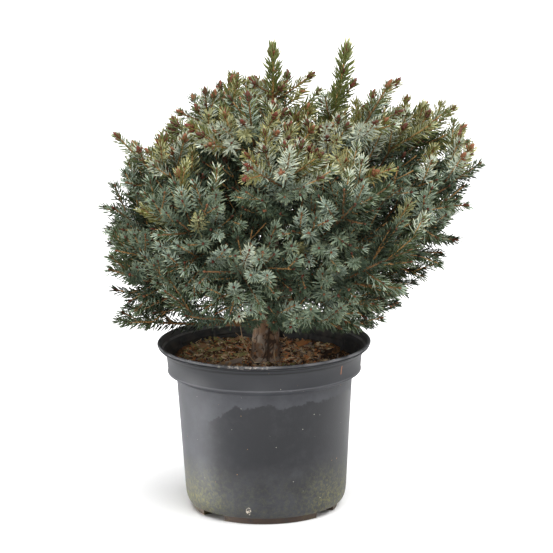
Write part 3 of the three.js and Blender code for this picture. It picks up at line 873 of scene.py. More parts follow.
def spray_points(base, way, length, roll):
    """The outer points of a twig of the solids, which have to be free."""
    spray = min(SPRAY_LENGTH, length)
    places = [np.array([0.0, 0.0, length])]
    for row in range(1, SPRAY_ROWS + 1):
        share = (row - 1) / (SPRAY_ROWS - 1)
        z = length - spray * (1 - lerp(FIRST_ROW, LAST_ROW, share))
        reach = SPRAY_RADIUS * (1 - SPRAY_END_TAPER * (2 * share - 1) ** 2)
        for side, angle in enumerate(angles_round(SPRAY_SIDES) + roll):
            is_needle = (row + side) % 2 == 0
            radius = reach if is_needle else SPRAY_CORE
            height = z + NEEDLE_SWEEP if is_needle else z
            places.append(np.array([radius * math.cos(angle), radius * math.sin(angle), height]))
    turn = Vector(UP).rotation_difference(Vector(way)).to_matrix()
    return np.array(places) @ np.array(turn).T + base


class Shoot:
    """A needled twig of one limb along a bowed line."""

    def __init__(self, line, own, order):
        self.line = line
        self.own = own
        self.order = order
        self.length = line.length()
        count = max(LEAST_SAMPLES, round(self.length / SAMPLE_STEP))
        self.samples = line.point(np.linspace(0, 1, count))

    def is_leader(self):
        return self.order == 0 and "leader" in LIMBS[self.own].tier


def outward(point):
    """The way to the outside of the crown, which looks more to the front and back than to the sides."""
    return unit((point - CROWN_ROOT) * OUTWARD_WEIGHTS)


def twig_line(base, way, length, bend):
    """A twig that starts off in a direction and bends towards the outside of the crown."""
    end = base + way * length
    return Bow(base, (base + end) / 2, base + unit(way + outward(end) * bend) * length)


def overshoot(points):
    """How far each point lies outside the reach of the finer twigs at its height."""
    x, y, z = np.moveaxis(points, -1, 0)
    left, right = (np.interp(z, FINE_HEIGHTS, reach) for reach in (FINE_LEFT, FINE_RIGHT))
    return np.hypot(x, y) - round_trunk((left, right, (left + right) / 2), np.arctan2(y, x))


def roof_height(points):
    """The height that finer twigs reach over each point."""
    x, y, _ = np.moveaxis(points, -1, 0)
    return np.interp(x, FINE_PLACES, FINE_ROOF) - FINE_ROOF_FALL * y**2


def underside(points):
    """The height that finer twigs stay above at each point."""
    x, y, _ = np.moveaxis(points, -1, 0)
    return np.interp(x, FINE_PLACES, FINE_UNDERSIDE) + FINE_UNDERSIDE_SLOPE * np.abs(y)


def crown_depth(points):
    """How far each point lies under the outside of the finer twigs."""
    z = points[:, 2]
    return np.min([-overshoot(points), roof_height(points) - z, z - underside(points)], axis=0)


def twig_starts(line, reach, rule, random):
    """Where the twigs that wind up a stem leave it, their ways, their rolls round it and their lengths."""
    count, first, last, spread, growth, least = rule
    first_roll = WHOLE_TURN * next(random)
    for i in range(count):
        share = lerp(first, last, i / (count - 1))
        roll = first_roll + math.radians(TWIG_TURN * i + TWIG_TURN_SCATTER * scatter(random))
        angle = math.radians(spread + SPREAD_SCATTER * scatter(random))
        length = scattered(growth * reach * (1 - share) + least, TWIG_LENGTH_SCATTER, random)
        yield line.point(share), side_way(line.tangent(share), angle, roll), roll, length


def first_twigs(own):
    """The twigs that the solids have on one limb's stem, drawn back where they stand out of the crown."""
    limb = LIMBS[own]
    rule = LEADER_TWIGS if own == LEADER else TWIGS
    twigs = []
    for base, way, roll, length in twig_starts(limb.line, limb.reach, rule, limb.random):
        for size in TWIG_TRIES:
            if is_free(spray_points(base, way, length * size, roll), own).all():
                line = twig_line(base, way, length * size - TIP_ROOM, TWIG_BEND)
                over = max(overshoot(line.end), line.end[2] - roof_height(line.end))
                beyond = max(over, FINE_OVERSHOOT) - FINE_OVERSHOOT
                twigs.append(Shoot(line.inner(max(LEAST_TWIG, 1 - beyond / length)), own, 1))
                break
    return twigs


def has_room(points):
    """Whether a finer twig may go there: inside a lumpy outside, and off the wood and the two leaders."""
    z = points[:, 2]
    lumps = np.array([noise.noise(Vector(point) / FINE_LUMP) for point in points]) * FINE_LUMP_DEPTH
    inside = (overshoot(points) < lumps) & (z < roof_height(points) + lumps) & (z > underside(points))
    off_leaders = distances(points, LEADER_LINES).min(axis=1) > LEADER_ROOM
    return (is_off_wood(points) & inside & off_leaders).all()


def crowding(point):
    """How much further apart than elsewhere the twigs stand at a point."""
    away = np.linalg.norm(point - OPEN_PLACES, axis=1)
    return 1 + (OPEN_ROOMS * bell(away, OPEN_SIZES)).max()


def finer_twigs(parent, rule, random, taken):
    """Twigs that wind up a parent and lean to the light, where there is room and no other twig is near."""
    grown = []
    line = LIMBS[parent.own].line if parent.order == 0 else parent.line
    for base, way, _, length in twig_starts(line, line.length(), rule, random):
        way = unit(way + outward(base) * FINE_OUTWARD)
        for size in FINE_TRIES:
            bow = twig_line(base, way, length * size, FINE_BEND)
            tested = bow.point(TESTED_SHARES)
            near = np.linalg.norm(tested[:, None] - taken, axis=-1).min()
            if near > FINE_ROOM * crowding(bow.end) and has_room(tested):
                twig = Shoot(bow, parent.own, parent.order + 1)
                grown.append(twig)
                taken = np.concatenate([taken, twig.samples])
                break
    return grown


def lone_shoots(shoots):
    """Shoots that stand out of the crown, each on the twig that is nearest to its place."""
    grown = []
    for root, tip in np.array(LONE_SHOOTS):
        apart = [np.linalg.norm(one.samples - root, axis=1) for one in shoots]
        nearest = np.argmin([gaps.min() for gaps in apart])
        parent = shoots[nearest]
        start = parent.samples[np.argmin(apart[nearest])]
        line = Bow(start, lerp(start, tip, 0.5) - UP * LONE_SAG, tip)
        grown.append(Shoot(line, parent.own, min(parent.order + 1, LONE_ORDER)))
    return grown


def grow():
    """All needled twigs of the plant: stems, the solids' twigs and finer ones."""
    shoots = []
    for own, limb in enumerate(LIMBS):
        start = 0 if own == LEADER else BOUGH_SHARE
        room = LEADER_TIP_ROOM if "leader" in limb.tier else SHORT_STEMS.get(limb.name, TIP_ROOM)
        shoots.append(Shoot(limb.line.inner(1 - room / limb.reach).outer(start), own, 0))
        shoots.extend(first_twigs(own))
    samples = np.concatenate([one.samples for one in shoots])
    owners = np.repeat(np.arange(len(shoots)), [len(one.samples) for one in shoots])
    randoms = [seeded(FINE_SEED + own) for own in range(len(LIMBS))]
    for order, rule in enumerate(FINE_ROUNDS):
        for number, parent in list(enumerate(shoots)):
            if parent.order != order or parent.own == LEADER:
                continue
            for one in finer_twigs(parent, rule, randoms[parent.own], samples[owners != number]):
                samples = np.concatenate([samples, one.samples])
                owners = np.append(owners, np.full(len(one.samples), len(shoots)))
                shoots.append(one)
    return [*shoots, *lone_shoots(shoots)]


# Materials

def linear(color):
    """A colour in sRGB numbers from 0 to 255, as linear light."""
    parts = [c / 255 for c in color]
    return (*[p / 12.92 if p <= 0.04045 else ((p + 0.055) / 1.055) ** 2.4 for p in parts], 1.0)


def plain(name, color, roughness=0.6, specular=0.35):
    """A material of one colour."""
    material = bpy.data.materials.new(name)
    material.use_nodes = True
    inputs = material.node_tree.nodes["Principled BSDF"].inputs
    inputs["Base Color"].default_value = linear(color)
    inputs["Roughness"].default_value = roughness
    inputs["Specular IOR Level"].default_value = specular
    return material


class Graph:
    """The nodes of one material, whose first colour is covered with patches of a second one."""

    def __init__(self, name, colors, patches, roughness=0.6, specular=0.35):
        self.material = plain(name, colors[0], roughness, specular)
        self.tree = self.material.node_tree
        self.shader = self.tree.nodes["Principled BSDF"]
        self.place = self.node("ShaderNodeTexCoord").outputs["Object"]
        self.x, self.y, self.z = self.node("ShaderNodeSeparateXYZ", {0: self.place}).outputs
        self.color = self.mix(self.patches(patches), *colors)

    def node(self, kind, inputs=(), **settings):
        made = self.tree.nodes.new(kind)
        for name, value in settings.items():
            setattr(made, name, value)
        for key, value in dict(inputs).items():
            self.put(made.inputs[key], value)
        return made

    def put(self, socket, value):
        if isinstance(value, bpy.types.NodeSocket):
            self.tree.links.new(value, socket)
        else:
            socket.default_value = value

    def math(self, operation, *values):
        return self.node("ShaderNodeMath", enumerate(values), operation=operation).outputs[0]

    def times(self, *values):
        return reduce(lambda a, b: self.math("MULTIPLY", a, b), values)

    def step(self, value, low, high):
        """0 below low, 1 above high, and smooth between; high may be the lower one."""
        inputs = {"Value": value, "From Min": low, "From Max": high}
        return self.node("ShaderNodeMapRange", inputs, interpolation_type="SMOOTHSTEP").outputs[0]

    def band(self, value, middle, outer, inner):
        """1 near a middle, and 0 further off on both sides."""
        return self.step(self.math("ABSOLUTE", self.math("SUBTRACT", value, middle)), outer, inner)

    def noise(self, scale, detail=3.0, roughness=0.55):
        inputs = {"Vector": self.place, "Scale": scale, "Detail": detail, "Roughness": roughness}
        return self.node("ShaderNodeTexNoise", inputs).outputs["Fac"]

    def patches(self, name):
        scale, low, high, *kind = PATCHES[name]
        return self.step(self.noise(scale, *kind), low, high)

    def mix(self, share, first, second):
        made = self.node("ShaderNodeMix", {"Factor": share}, data_type="RGBA")
        for key, value in ((6, first), (7, second)):
            self.put(made.inputs[key], value if isinstance(value, bpy.types.NodeSocket) else linear(value))
        return made.outputs[2]

    def paint(self, tint, *shares):
        """Lays a colour over what is there, by a share that is the product of some."""
        self.color = self.mix(self.times(*shares), self.color, tint)

    def mark(self, name, *shares):
        tint, strength = MARKS[name]
        self.paint(tint, *shares, strength)

    def bump(self, scale, detail, strength, distance):
        inputs = {"Height": self.noise(scale, detail), "Strength": strength, "Distance": distance}
        self.put(self.shader.inputs["Normal"], self.node("ShaderNodeBump", inputs).outputs[0])

    def finish(self):
        self.put(self.shader.inputs["Base Color"], self.color)
        return self.material


def bark_material(name, pale, brown, painted_shade, flake):
    """Bark: grey plates, brown between them, painted shade in the cracks and wherever the relief is low, with
    small rusty flakes.
    """
    g = Graph(name, (pale, brown), "bark", roughness=0.85, specular=0.2)
    relief = g.node("ShaderNodeAttribute", attribute_name="relief").outputs["Fac"]
    g.paint(flake, g.patches("flakes"))
    # Painted shade where the relief is low: in the cracks, the seam and the dips of the grain
    g.paint(painted_shade, g.step(relief, *CRACK_SHADE_FADE), CRACK_SHADE_STRENGTH)
    g.bump(*BARK_BUMP)
    return g.finish()


def stain_on(g, angle):
    """A damp stain with ragged edges, lower at the left."""
    ragged = g.times(g.math("SUBTRACT", g.noise(*RAGGED), 0.5), RAGGED_SIZE)
    top = g.math("SUBTRACT", STAIN_TOP, g.times(g.step(angle, *STAIN_DROP_FADE), STAIN_DROP))
    shares = []
    for value, (size, *fade) in zip((g.math("SUBTRACT", g.z, top), angle, angle, g.z), STAIN_EDGES):
        shares.append(g.step(g.math("ADD", value, g.times(ragged, size)), *fade))
    return g.times(*shares, g.patches("stain"))


def paint_specks(g):
    """Small round specks, some pale and some rusty."""
    cells = g.node("ShaderNodeTexVoronoi", {"Vector": g.place, "Scale": SPECK_SCALE}).outputs
    chance, size, kind = g.node("ShaderNodeSeparateColor", {0: cells["Color"]}).outputs
    inside = g.math("LESS_THAN", cells["Distance"], g.times(size, SPECK_SIZE))
    tint = g.mix(g.step(kind, *RUSTY_SPECK_FADE), PALE_SPECK, RUSTY_SPECK)
    g.paint(tint, inside, g.step(chance, *SPECK_FADE), SPECK_STRENGTH)


def smear_on(g):
    """A pale smear low at the front."""
    ways = zip((g.x, g.z), SMEAR_PLACE, SMEAR_SIZE)
    away = [g.math("DIVIDE", g.math("SUBTRACT", value, place), size) for value, place, size in ways]
    squares = [g.math("POWER", part, 2.0) for part in away]
    return g.times(g.step(g.math("ADD", *squares), *SMEAR_FADE), g.step(g.y, *FRONT_FADE), g.patches("smear"))


def pot_material():
    """Dull black plastic: dusty, with a damp stain at the front, algae low down, specks and a worn lip;
    painted highlights on the lip's bead and the collar's lower edge, and painted shade in the lines of the
    lip.
    """
    g = Graph("pot_plastic", PLASTIC, "dust", specular=0.29)
    angle = g.math("ARCTAN2", g.x, g.times(g.y, -1.0))
    stain = stain_on(g, angle)
    g.mark("stain", stain)
    g.mark("collar", g.step(g.z, *COLLAR_FADE))
    # A painted highlight along the collar's lower edge
    g.mark("collar_edge_highlight", g.band(g.z, *COLLAR_EDGE_HIGHLIGHT))
    right = g.math("ADD", g.step(angle, *ALGAE_RIGHT_FADE), ALGAE_AT_FRONT)
    sides = g.math("ADD", g.step(angle, *ALGAE_LEFT_FADE), right)
    g.mark("algae", g.step(g.z, *ALGAE_FADE), sides, g.patches("algae"))
    g.mark("foot_dirt", g.step(g.z, *FOOT_DIRT_FADE), g.patches("foot_dirt"))
    paint_specks(g)
    g.mark("smear", smear_on(g))
    worn = g.times(g.step(angle, *WORN_LIP_LEFT_FADE), g.step(angle, *WORN_LIP_RIGHT_FADE))
    g.mark("worn_lip", worn, g.step(g.z, *WORN_LIP_FADE), g.patches("worn_lip"))
    ends = g.times(g.step(g.z, *SCRATCH_LOW_FADE), g.step(g.z, *SCRATCH_TOP_FADE))
    g.mark("scratch", ends, g.band(angle, *SCRATCH))
    # A painted highlight on the rounded bead at the top of the lip
    g.mark("bead_highlight", g.step(g.z, *BEAD_HIGHLIGHT_FADE), g.patches("bead_highlight"))
    # Painted shade in the lip's groove and under its step
    for line in LIP_SHADE_LINES:
        g.mark("lip_shade_line", g.band(g.z, *line))
    g.bump(*PLASTIC_BUMP)
    dry, damp = PLASTIC_ROUGHNESS
    rough = g.node("ShaderNodeMapRange", {"Value": stain, "To Min": dry, "To Max": damp}).outputs[0]
    g.put(g.shader.inputs["Roughness"], rough)
    return g.finish()


def pot_inside_material():
    """The pot's inner side: nearly black, with a little dry dirt, painted light near the top and a painted
    highlight along the edge under the lip.
    """
    g = Graph("pot_inside", INNER_PLASTIC, "inner_dust", roughness=0.8, specular=0.2)
    g.mark("inner_dirt", g.patches("inner_dirt"))
    # Painted light on the inner side near the top
    g.mark("inner_lip_light", g.step(g.z, *INNER_LIP_LIGHT_FADE))
    # A painted highlight along the inner edge under the lip
    g.mark("inner_edge_highlight", g.band(g.z, *INNER_EDGE_HIGHLIGHT), g.patches("inner_edge_highlight"))
    g.bump(*INNER_BUMP)
    return g.finish()


def soil_material():
    g = Graph("soil_compost", COMPOST, "compost", roughness=0.95, specular=0.15)
    g.mark("crumbs", g.patches("crumbs"))
    g.bump(*COMPOST_BUMP)
    return g.finish()


# Needles, twigs and buds

def deal_tints(shoots, rng):
    """Deals sprays their tints: pale on top as painted sunlight, grey and blue round the sides, and darker
    low down, deep inside and in the hollows as painted shade.
    """
    tips = np.array([one.line.end for one in shoots])
    for one, tip, depth in zip(shoots, tips, crown_depth(tips)):
        # Painted light: pale tints for high sprays as sunlight, dark ones for low, deep and hollow sprays as
        # shade
        place = "sunny" if tip[2] > SUNNY_Z else "low" if tip[2] < LOW_Z else "side"
        place = "inner" if depth > INNER_DEPTH or crowding(tip) > HOLLOW_ROOM else place
        one.depth = depth
        one.tint = LEADER_TINT if one.is_leader() else rng.choice(LEADER_TINT, p=TINT_SHARES[place])


def needle_rows(one, rng):
    """Where a shoot's needles stand, their ways, the sides that their faces look to, lengths and tints."""
    on_leader = one.is_leader()
    density = INNER_NEEDLES_PER_MM if one.depth > INNER_DEPTH else NEEDLES_PER_MM
    density = LEADER_NEEDLES_PER_MM if on_leader else density
    bare = min(MOST_BARE, BARE_FOOT / one.length)
    count = int(one.length * (1 - bare) * density)
    along = np.concatenate([(np.arange(count) + 0.5) / count, rng.uniform(*TIP_SHARES, TIP_NEEDLES)])
    shares = np.minimum(bare + (1 - bare) * along, 1.0)
    number = len(shares)
    places = one.line.point(shares)
    tangents = one.line.tangent(shares)
    across, upward = sides_of(tangents)
    rolls = GOLDEN_TURN * np.arange(number) + rng.uniform(0, WHOLE_TURN)
    rolls = rolls + rng.normal(0, ROLL_SCATTER, number)
    radial = across * np.cos(rolls)[:, None] + upward * np.sin(rolls)[:, None]
    level = 1 - np.abs(tangents @ UP)
    upper = np.clip(radial @ UP, 0, 1) * level
    past = np.clip(1 - (1 - along) * one.length / TIP_REACH, 0, 1)
    steepness = LEADER_NEEDLE_ANGLES if on_leader else NEEDLE_ANGLES
    closing = np.clip(1 - (1 - shares) * one.length / LEADER_TOP, 0, 1) if on_leader else past**2
    angles = lerp(*steepness, closing) + rng.normal(0, NEEDLE_ANGLE_SCATTER, number)
    angles *= 1 - UPPER_CLOSING * upper
    angles[count:] = rng.uniform(*(LEADER_TIP_ANGLES if on_leader else TIP_ANGLES), TIP_NEEDLES)
    angles = np.radians(angles)[:, None]
    ways = unit(tangents * np.cos(angles) + radial * np.sin(angles) + UP * NEEDLE_LIFT)
    looks = tangents - UP * NEEDLE_DROOP
    looks = unit(looks - ways * np.sum(looks * ways, axis=1, keepdims=True))
    twists = np.radians(rng.normal(0, NEEDLE_TWIST, number))[:, None]
    looks = looks * np.cos(twists) + np.cross(ways, looks) * np.sin(twists)
    fullness = (1 - TIP_SHORTENING * past**3) * (1 - UPPER_SHORTENING * upper)
    fullness = LEADER_NEEDLE_SCALE * (1 - LEADER_TIP_SHORTENING * closing) if on_leader else fullness
    lengths = NEEDLE_LENGTH * fullness * rng.normal(1, NEEDLE_LENGTH_SCATTER, number)
    # Older needles further from the tip get a darker tint, which is also painted shade deeper in the spray
    is_older_and_shaded = (1 - shares) * one.length > OLDER_SHADED_FROM + rng.normal(0, OLDER_SHADED_SCATTER, number)
    tints = np.where(is_older_and_shaded, OLDER_SHADED_TINT[one.tint], one.tint)
    return places, ways, looks, lengths, tints


def make_needles(name, shoots, materials, rng):
    """The needles of some shoots as one piece."""
    rows = [needle_rows(one, rng) for one in shoots]
    places, ways, looks, lengths, tints = (np.concatenate(part) for part in zip(*rows))
    size = (lengths / NEEDLE_LENGTH)[:, None]
    half = np.cross(ways, looks) * NEEDLE_WIDTH / 2 * size
    along = ways * lengths[:, None]
    bend = looks * NEEDLE_BEND * lengths[:, None]
    shoulder = places + along * NEEDLE_SHOULDER + bend * NEEDLE_SHOULDER**2
    ridge = places + along * NEEDLE_RIDGE - looks * NEEDLE_THICKNESS * size
    feet = [places - half * NEEDLE_FOOT, places + half * NEEDLE_FOOT]
    corners = [*feet, shoulder - half, shoulder + half, ridge, places + along + bend]
    start = len(corners) * np.arange(len(places))[:, None]
    shapes = Shapes()
    shapes.points.append(np.stack(corners, axis=1).reshape(-1, 3))
    for side, triangles in enumerate(NEEDLE_FACES):
        for triangle in triangles:
            shapes.polygons.append(start + np.array(triangle))
            shapes.slots.append(len(NEEDLE_FACES) * tints + side)
    return shapes.make(name, materials, smooth=False)


def make_twigs(name, shoots, materials):
    """The wood of the needled twigs as one piece."""
    shapes = Shapes()
    shares = np.linspace(0, 1, TWIG_RINGS)
    youngest = len(materials) - 1
    for one in shoots:
        radii = lerp(*TWIG_RADII[one.order], shares)
        slot = youngest if one.is_leader() else min(one.order, youngest)
        shapes.add(*stick(one.line.point(shares), one.line.tangent(shares), radii, TWIG_SIDES), slot)
    return shapes.make(name, materials)


def add_bud(shapes, base, way, scale, slot):
    middles = np.array([base + way * BUD_LENGTH * scale * height for height, _ in BUD_OUTLINE])
    radii = [BUD_RADIUS * scale * radius for _, radius in BUD_OUTLINE]
    rings = tube(middles, np.tile(way, (len(middles), 1)), radii, BUD_SIDES)
    shapes.add(*skin(rings, last_pole=base + way * BUD_LENGTH * scale), slot)


def make_buds(name, shoots, materials, rng):
    """Clusters of buds at the tips of the shoots, and single ones along them."""
    shapes = Shapes()
    for one in shoots:
        outside = one.depth < INNER_DEPTH
        if rng.uniform() > (BUD_CHANCE if outside else INNER_BUD_CHANCE):
            continue
        slot = rng.integers(len(materials))
        way = one.line.tangent(1.0)
        tip = one.line.end
        high = tip[2] > HIGH_BUD_Z and one.order < HIGH_BUD_ORDERS
        size = rng.uniform(*(HIGH_BUD_SCALES if high else BUD_SCALES))
        size = LEADER_BUD if one.is_leader() else size
        add_bud(shapes, tip - way * BUD_SINK, way, size, slot)
        count = rng.integers(*(HIGH_SIDE_BUDS if high and outside else SIDE_BUDS))
        first = rng.uniform(0, WHOLE_TURN)
        for i in range(count):
            roll = first + WHOLE_TURN * i / count + rng.normal(0, SIDE_BUD_ROLL_SCATTER)
            spread = math.radians(SIDE_BUD_SPREAD + rng.normal(0, SIDE_BUD_SPREAD_SCATTER))
            base = tip - way * rng.uniform(*SIDE_BUD_DROP)
            scale = size * SIDE_BUD_SCALE * rng.uniform(*SIDE_BUD_SCALES)
            add_bud(shapes, base, side_way(way, spread, roll), scale, slot)
        along_it = rng.uniform(*LONE_BUD_SHARES, rng.integers(*LONE_BUDS) if outside else 0)
        if one.is_leader():
            along_it = rng.normal(1 - WHORL_DROP / one.length, WHORL_SCATTER, WHORL_COUNT)
        for share in along_it:
            roll = rng.uniform(0, WHOLE_TURN)
            side = side_way(one.line.tangent(share), math.radians(LONE_BUD_SPREAD), roll)
            base = one.line.point(share) + side * LONE_BUD_LIFT
            scale = WHORL_SCALE if one.is_leader() else SIDE_BUD_SCALE
            add_bud(shapes, base, side, scale * rng.uniform(*LONE_BUD_SCALES), slot)
    return shapes.make(name, materials)


# Bark

def paint_relief(made, relief):
    """Keeps how far each point stands out, from 0 to 1, for the material."""
    attribute = made.data.attributes.new("relief", "FLOAT", "POINT")
    attribute.data.foreach_set("value", np.asarray(relief, np.float32))


def plates(places):
    """How far bark plates stand out at each place, from 0 in a crack to 1."""
    heights = []
    for place in places:
        bent = Vector(place) + noise.noise_vector(Vector(place) / PLATE_HEIGHT) * PLATE_BEND
        near = noise.voronoi((bent.x / PLATE_WIDTH, bent.y / PLATE_WIDTH, bent.z / PLATE_HEIGHT))[0]
        heights.append(near[1] - near[0])
    return smoothstep(0.0, CRACK_WIDTH, np.array(heights))


def grain(places, size):
    return np.array([noise.noise((x / size, y / size, z / size)) for x, y, z in places])


def make_trunk(material):
    """The trunk with cracked plates and the seam where two stems have grown together."""
    heights = np.arange(SOIL_Z + GAP, TRUNK_TIP[2] + TRUNK_STEP / 2, TRUNK_STEP)
    middles = trunk_middle(heights)
    angles = angles_round(TRUNK_SIDES)
    circle = np.stack([np.cos(angles), np.sin(angles), np.zeros(TRUNK_SIDES)], axis=-1)
    radii = trunk_radius(heights[:, None], angles)
    smooth = (middles[:, None] + circle * radii[..., None]).reshape(-1, 3)
    plate = plates(smooth).reshape(radii.shape)
    small = grain(smooth, BARK_GRAIN_SIZE).reshape(radii.shape)
    wander = np.array([noise.noise((0.0, SEAM_ROW, z / SEAM_WAVE)) for z in heights]) * SEAM_WANDER
    seam = np.radians(SEAM_ANGLE + wander)[:, None]
    off = np.degrees(np.abs((angles - seam + math.pi) % WHOLE_TURN - math.pi))
    groove = bell(off, SEAM_WIDTH)
    thick = np.minimum(radii / TRUNK_FOOT_RADIUS, 1.0)
    radii = radii + thick * (PLATE_RELIEF * (plate - 1) + BARK_GRAIN * small - SEAM_DEPTH * groove)
    rings = middles[:, None] + circle * radii[..., None]
    trunk = make_one("trunk_bark", skin(rings, middles[0], middles[-1]), [material])
    # How far each point stands out; the bark's material paints shade where it is low, in the cracks and the
    # seam
    relief = np.clip(plate + BARK_GRAIN_SHADE * small - groove, 0, 1).ravel()
    paint_relief(trunk, np.append(relief, [END_RELIEF, END_RELIEF]))
    return trunk


def make_boughs(name, limbs, material):
    """Some boughs with thin scaly bark, swollen where they leave the trunk."""
    shapes = Shapes()
    reliefs = []
    for limb in limbs:
        length = limb.reach * BOUGH_SHARE
        shares = np.linspace(0, BOUGH_SHARE, max(LEAST_RINGS, round(length / BOUGH_STEP)))
        middles = limb.line.point(shares)
        tangents = limb.line.tangent(shares)
        radii = lerp(BOUGH_ROOT_RADIUS, BOUGH_TIP_RADIUS, shares / BOUGH_SHARE)
        past = np.maximum(0, shares * limb.reach - trunk_radius(middles[0][2], 0))
        radii = radii + BOUGH_COLLAR * np.exp(-past / BOUGH_COLLAR_FADE)
        smooth = tube(middles, tangents, radii, BOUGH_SIDES)
        relief = grain(smooth.reshape(-1, 3), BOUGH_GRAIN_SIZE).reshape(smooth.shape[:2])
        shapes.add(*stick(middles, tangents, radii[:, None] + BOUGH_RELIEF * relief, BOUGH_SIDES))
        # How far each point stands out; the bark's material paints shade where it is low
        reliefs.append(np.append(np.clip(BOUGH_SHADE + relief, 0, 1).ravel(), [END_RELIEF, END_RELIEF]))
    boughs = shapes.make(name, [material])
    paint_relief(boughs, np.concatenate(reliefs))
    return boughs


# Pot

def outline(steps):
    """Points of an outline; a step of two points carries it on along a bowed line, pulled to the first."""
    path = []
    for step in steps:
        if np.ndim(step) == 1:
            path.append(step)
            continue
        line = Bow(np.array(path[-1], float), *np.array(step, float))
        path.extend(line.point(np.linspace(0, 1, ARC_STEPS + 1)[1:]))
    return np.array(path, float)


def rounded(path):
    """An outline with its corners rounded off a little."""
    made = [path[0]]
    for before, corner, after in zip(path, path[1:], path[2:]):
        gaps = [np.linalg.norm(far - corner) for far in (before, after)]
        shares = [min(EDGE_ROUNDING, MOST_ROUNDING * gap) / gap for gap in gaps]
        inward = CORNER_CUT * (lerp(before, after, 0.5) - corner) * min(1, EDGE_ROUNDING / gaps[0])
        made += [lerp(corner, before, shares[0]), corner + inward, lerp(corner, after, shares[1])]
    return np.array([*made, path[-1]])


def pot_profile():
    """The pot's outline from the middle of its underside round the lip to the middle of its floor."""
    lip_low = POT_HEIGHT - LIP_HEIGHT
    lip_low_radius = LIP_RADIUS - LIP_TAPER
    lip_inner = lip_low_radius - POT_WALL
    groove_z = POT_HEIGHT - LIP_GROOVE_DROP
    groove_radius = lerp(lip_low_radius, LIP_RADIUS, 0.5)
    collar_top = lip_low - FLARE_HEIGHT
    collar_inner = COLLAR_TOP_RADIUS - POT_WALL
    body_inner = BODY_LOW_RADIUS - POT_WALL
    slack = POT_WALL / 2
    underside_and_feet = [
        (0, 0),
        (PAD_RADIUS, 0),
        (PAD_RADIUS + FOOT_DRAFT, FOOT_HEIGHT),
        (FOOT_INNER_RADIUS - FOOT_DRAFT, FOOT_HEIGHT),
        (FOOT_INNER_RADIUS, 0),
        (FOOT_OUTER_RADIUS, 0),
        (FOOT_OUTER_RADIUS + FOOT_DRAFT, FOOT_HEIGHT),
        (FLOOR_RADIUS + POT_WALL, FOOT_HEIGHT),
    ]
    outside = [
        ((BODY_LOW_RADIUS - FOOT_DRAFT, FLOOR_TOP), (BODY_LOW_RADIUS, BODY_LOW_Z)),
        (BODY_TOP_RADIUS, BODY_TOP_Z),
        (COLLAR_LOW_RADIUS + COLLAR_BEAD / 2, COLLAR_LOW_Z - COLLAR_BEAD),
        (COLLAR_LOW_RADIUS + COLLAR_BEAD, COLLAR_LOW_Z),
        (COLLAR_LOW_RADIUS, COLLAR_LOW_Z + 2 * COLLAR_BEAD),
        (COLLAR_TOP_RADIUS, collar_top),
        ((COLLAR_TOP_RADIUS + LIP_STEP, lip_low - LIP_STEP), (lip_low_radius - LIP_STEP, lip_low)),
        (lip_low_radius, lip_low + LIP_STEP),
    ]
    lip = [
        (groove_radius, groove_z - LIP_GROOVE),
        (groove_radius - LIP_GROOVE, groove_z),
        (LIP_RADIUS - BEAD / 2, groove_z + LIP_GROOVE),
        ((LIP_RADIUS + BEAD / 2, POT_HEIGHT - BEAD), (LIP_RADIUS - BEAD, POT_HEIGHT)),
        (LIP_RADIUS - BEAD - POT_WALL, POT_HEIGHT - BEAD / 2),
        (lip_inner, lip_low),
    ]
    inside = [
        (lip_inner - LIP_STEP, lip_low - slack),
        ((collar_inner + slack + LEDGE, lip_low - POT_WALL), (collar_inner + LEDGE, collar_top + LEDGE)),
        (collar_inner, collar_top + LEDGE / 2),
        (COLLAR_LOW_RADIUS - POT_WALL, COLLAR_LOW_Z + slack),
        (BODY_TOP_RADIUS - POT_WALL, BODY_TOP_Z + slack),
        (body_inner, BODY_LOW_Z),
        ((body_inner - FOOT_DRAFT, FLOOR_TOP + FOOT_DRAFT), (FLOOR_RADIUS, FLOOR_TOP)),
        (0, FLOOR_TOP),
    ]
    return rounded(outline([*underside_and_feet, *outside, *lip, *inside]))


def turned(profile, sides):
    """Points and faces of an outline turned about Z, whose two ends lie on the axis."""
    angles = angles_round(sides)
    radii, heights = profile[1:-1, :1], profile[1:-1, 1:]
    heights = np.repeat(heights, sides, axis=1)
    rings = np.stack([radii * np.cos(angles), radii * np.sin(angles), heights], axis=-1)
    return skin(rings, UP * profile[0][1], UP * profile[-1][1])


def sector(middle, half, inner, outer, low, high):
    """A closed block between two radii and two angles."""
    angles = np.linspace(middle - half, middle + half, SECTOR_POINTS)
    ways = np.stack([np.cos(angles), np.sin(angles)], axis=-1)
    ring = np.concatenate([outer * ways, inner * ways[::-1]])
    rows = np.stack([np.column_stack([ring, np.full(len(ring), z)]) for z in (low, high)])
    number = np.arange(len(ring))
    points, polygons = skin(rows)
    return points, [*polygons, number[::-1][None], number[None] + len(ring)]


def gusset(azimuth):
    """A small web in the corner between the collar and the ledge under it."""
    way = np.array([math.cos(azimuth), math.sin(azimuth), 0.0])
    across = np.array([-math.sin(azimuth), math.cos(azimuth), 0.0]) * GUSSET_WIDTH / 2
    wall = COLLAR_LOW_RADIUS - POT_WALL / 2
    corner = way * wall + UP * COLLAR_LOW_Z
    inner = way * (wall - GUSSET_DEPTH) + UP * COLLAR_LOW_Z
    top = way * wall + UP * (SOIL_Z + GUSSET_HEIGHT)
    row = np.array([corner, inner, top])
    triangles = np.array([[0, 1, 2], [5, 4, 3]])
    quads = np.array([[0, 3, 4, 1], [1, 4, 5, 2], [2, 5, 3, 0]])
    return np.concatenate([row + across, row - across]), [triangles, quads]


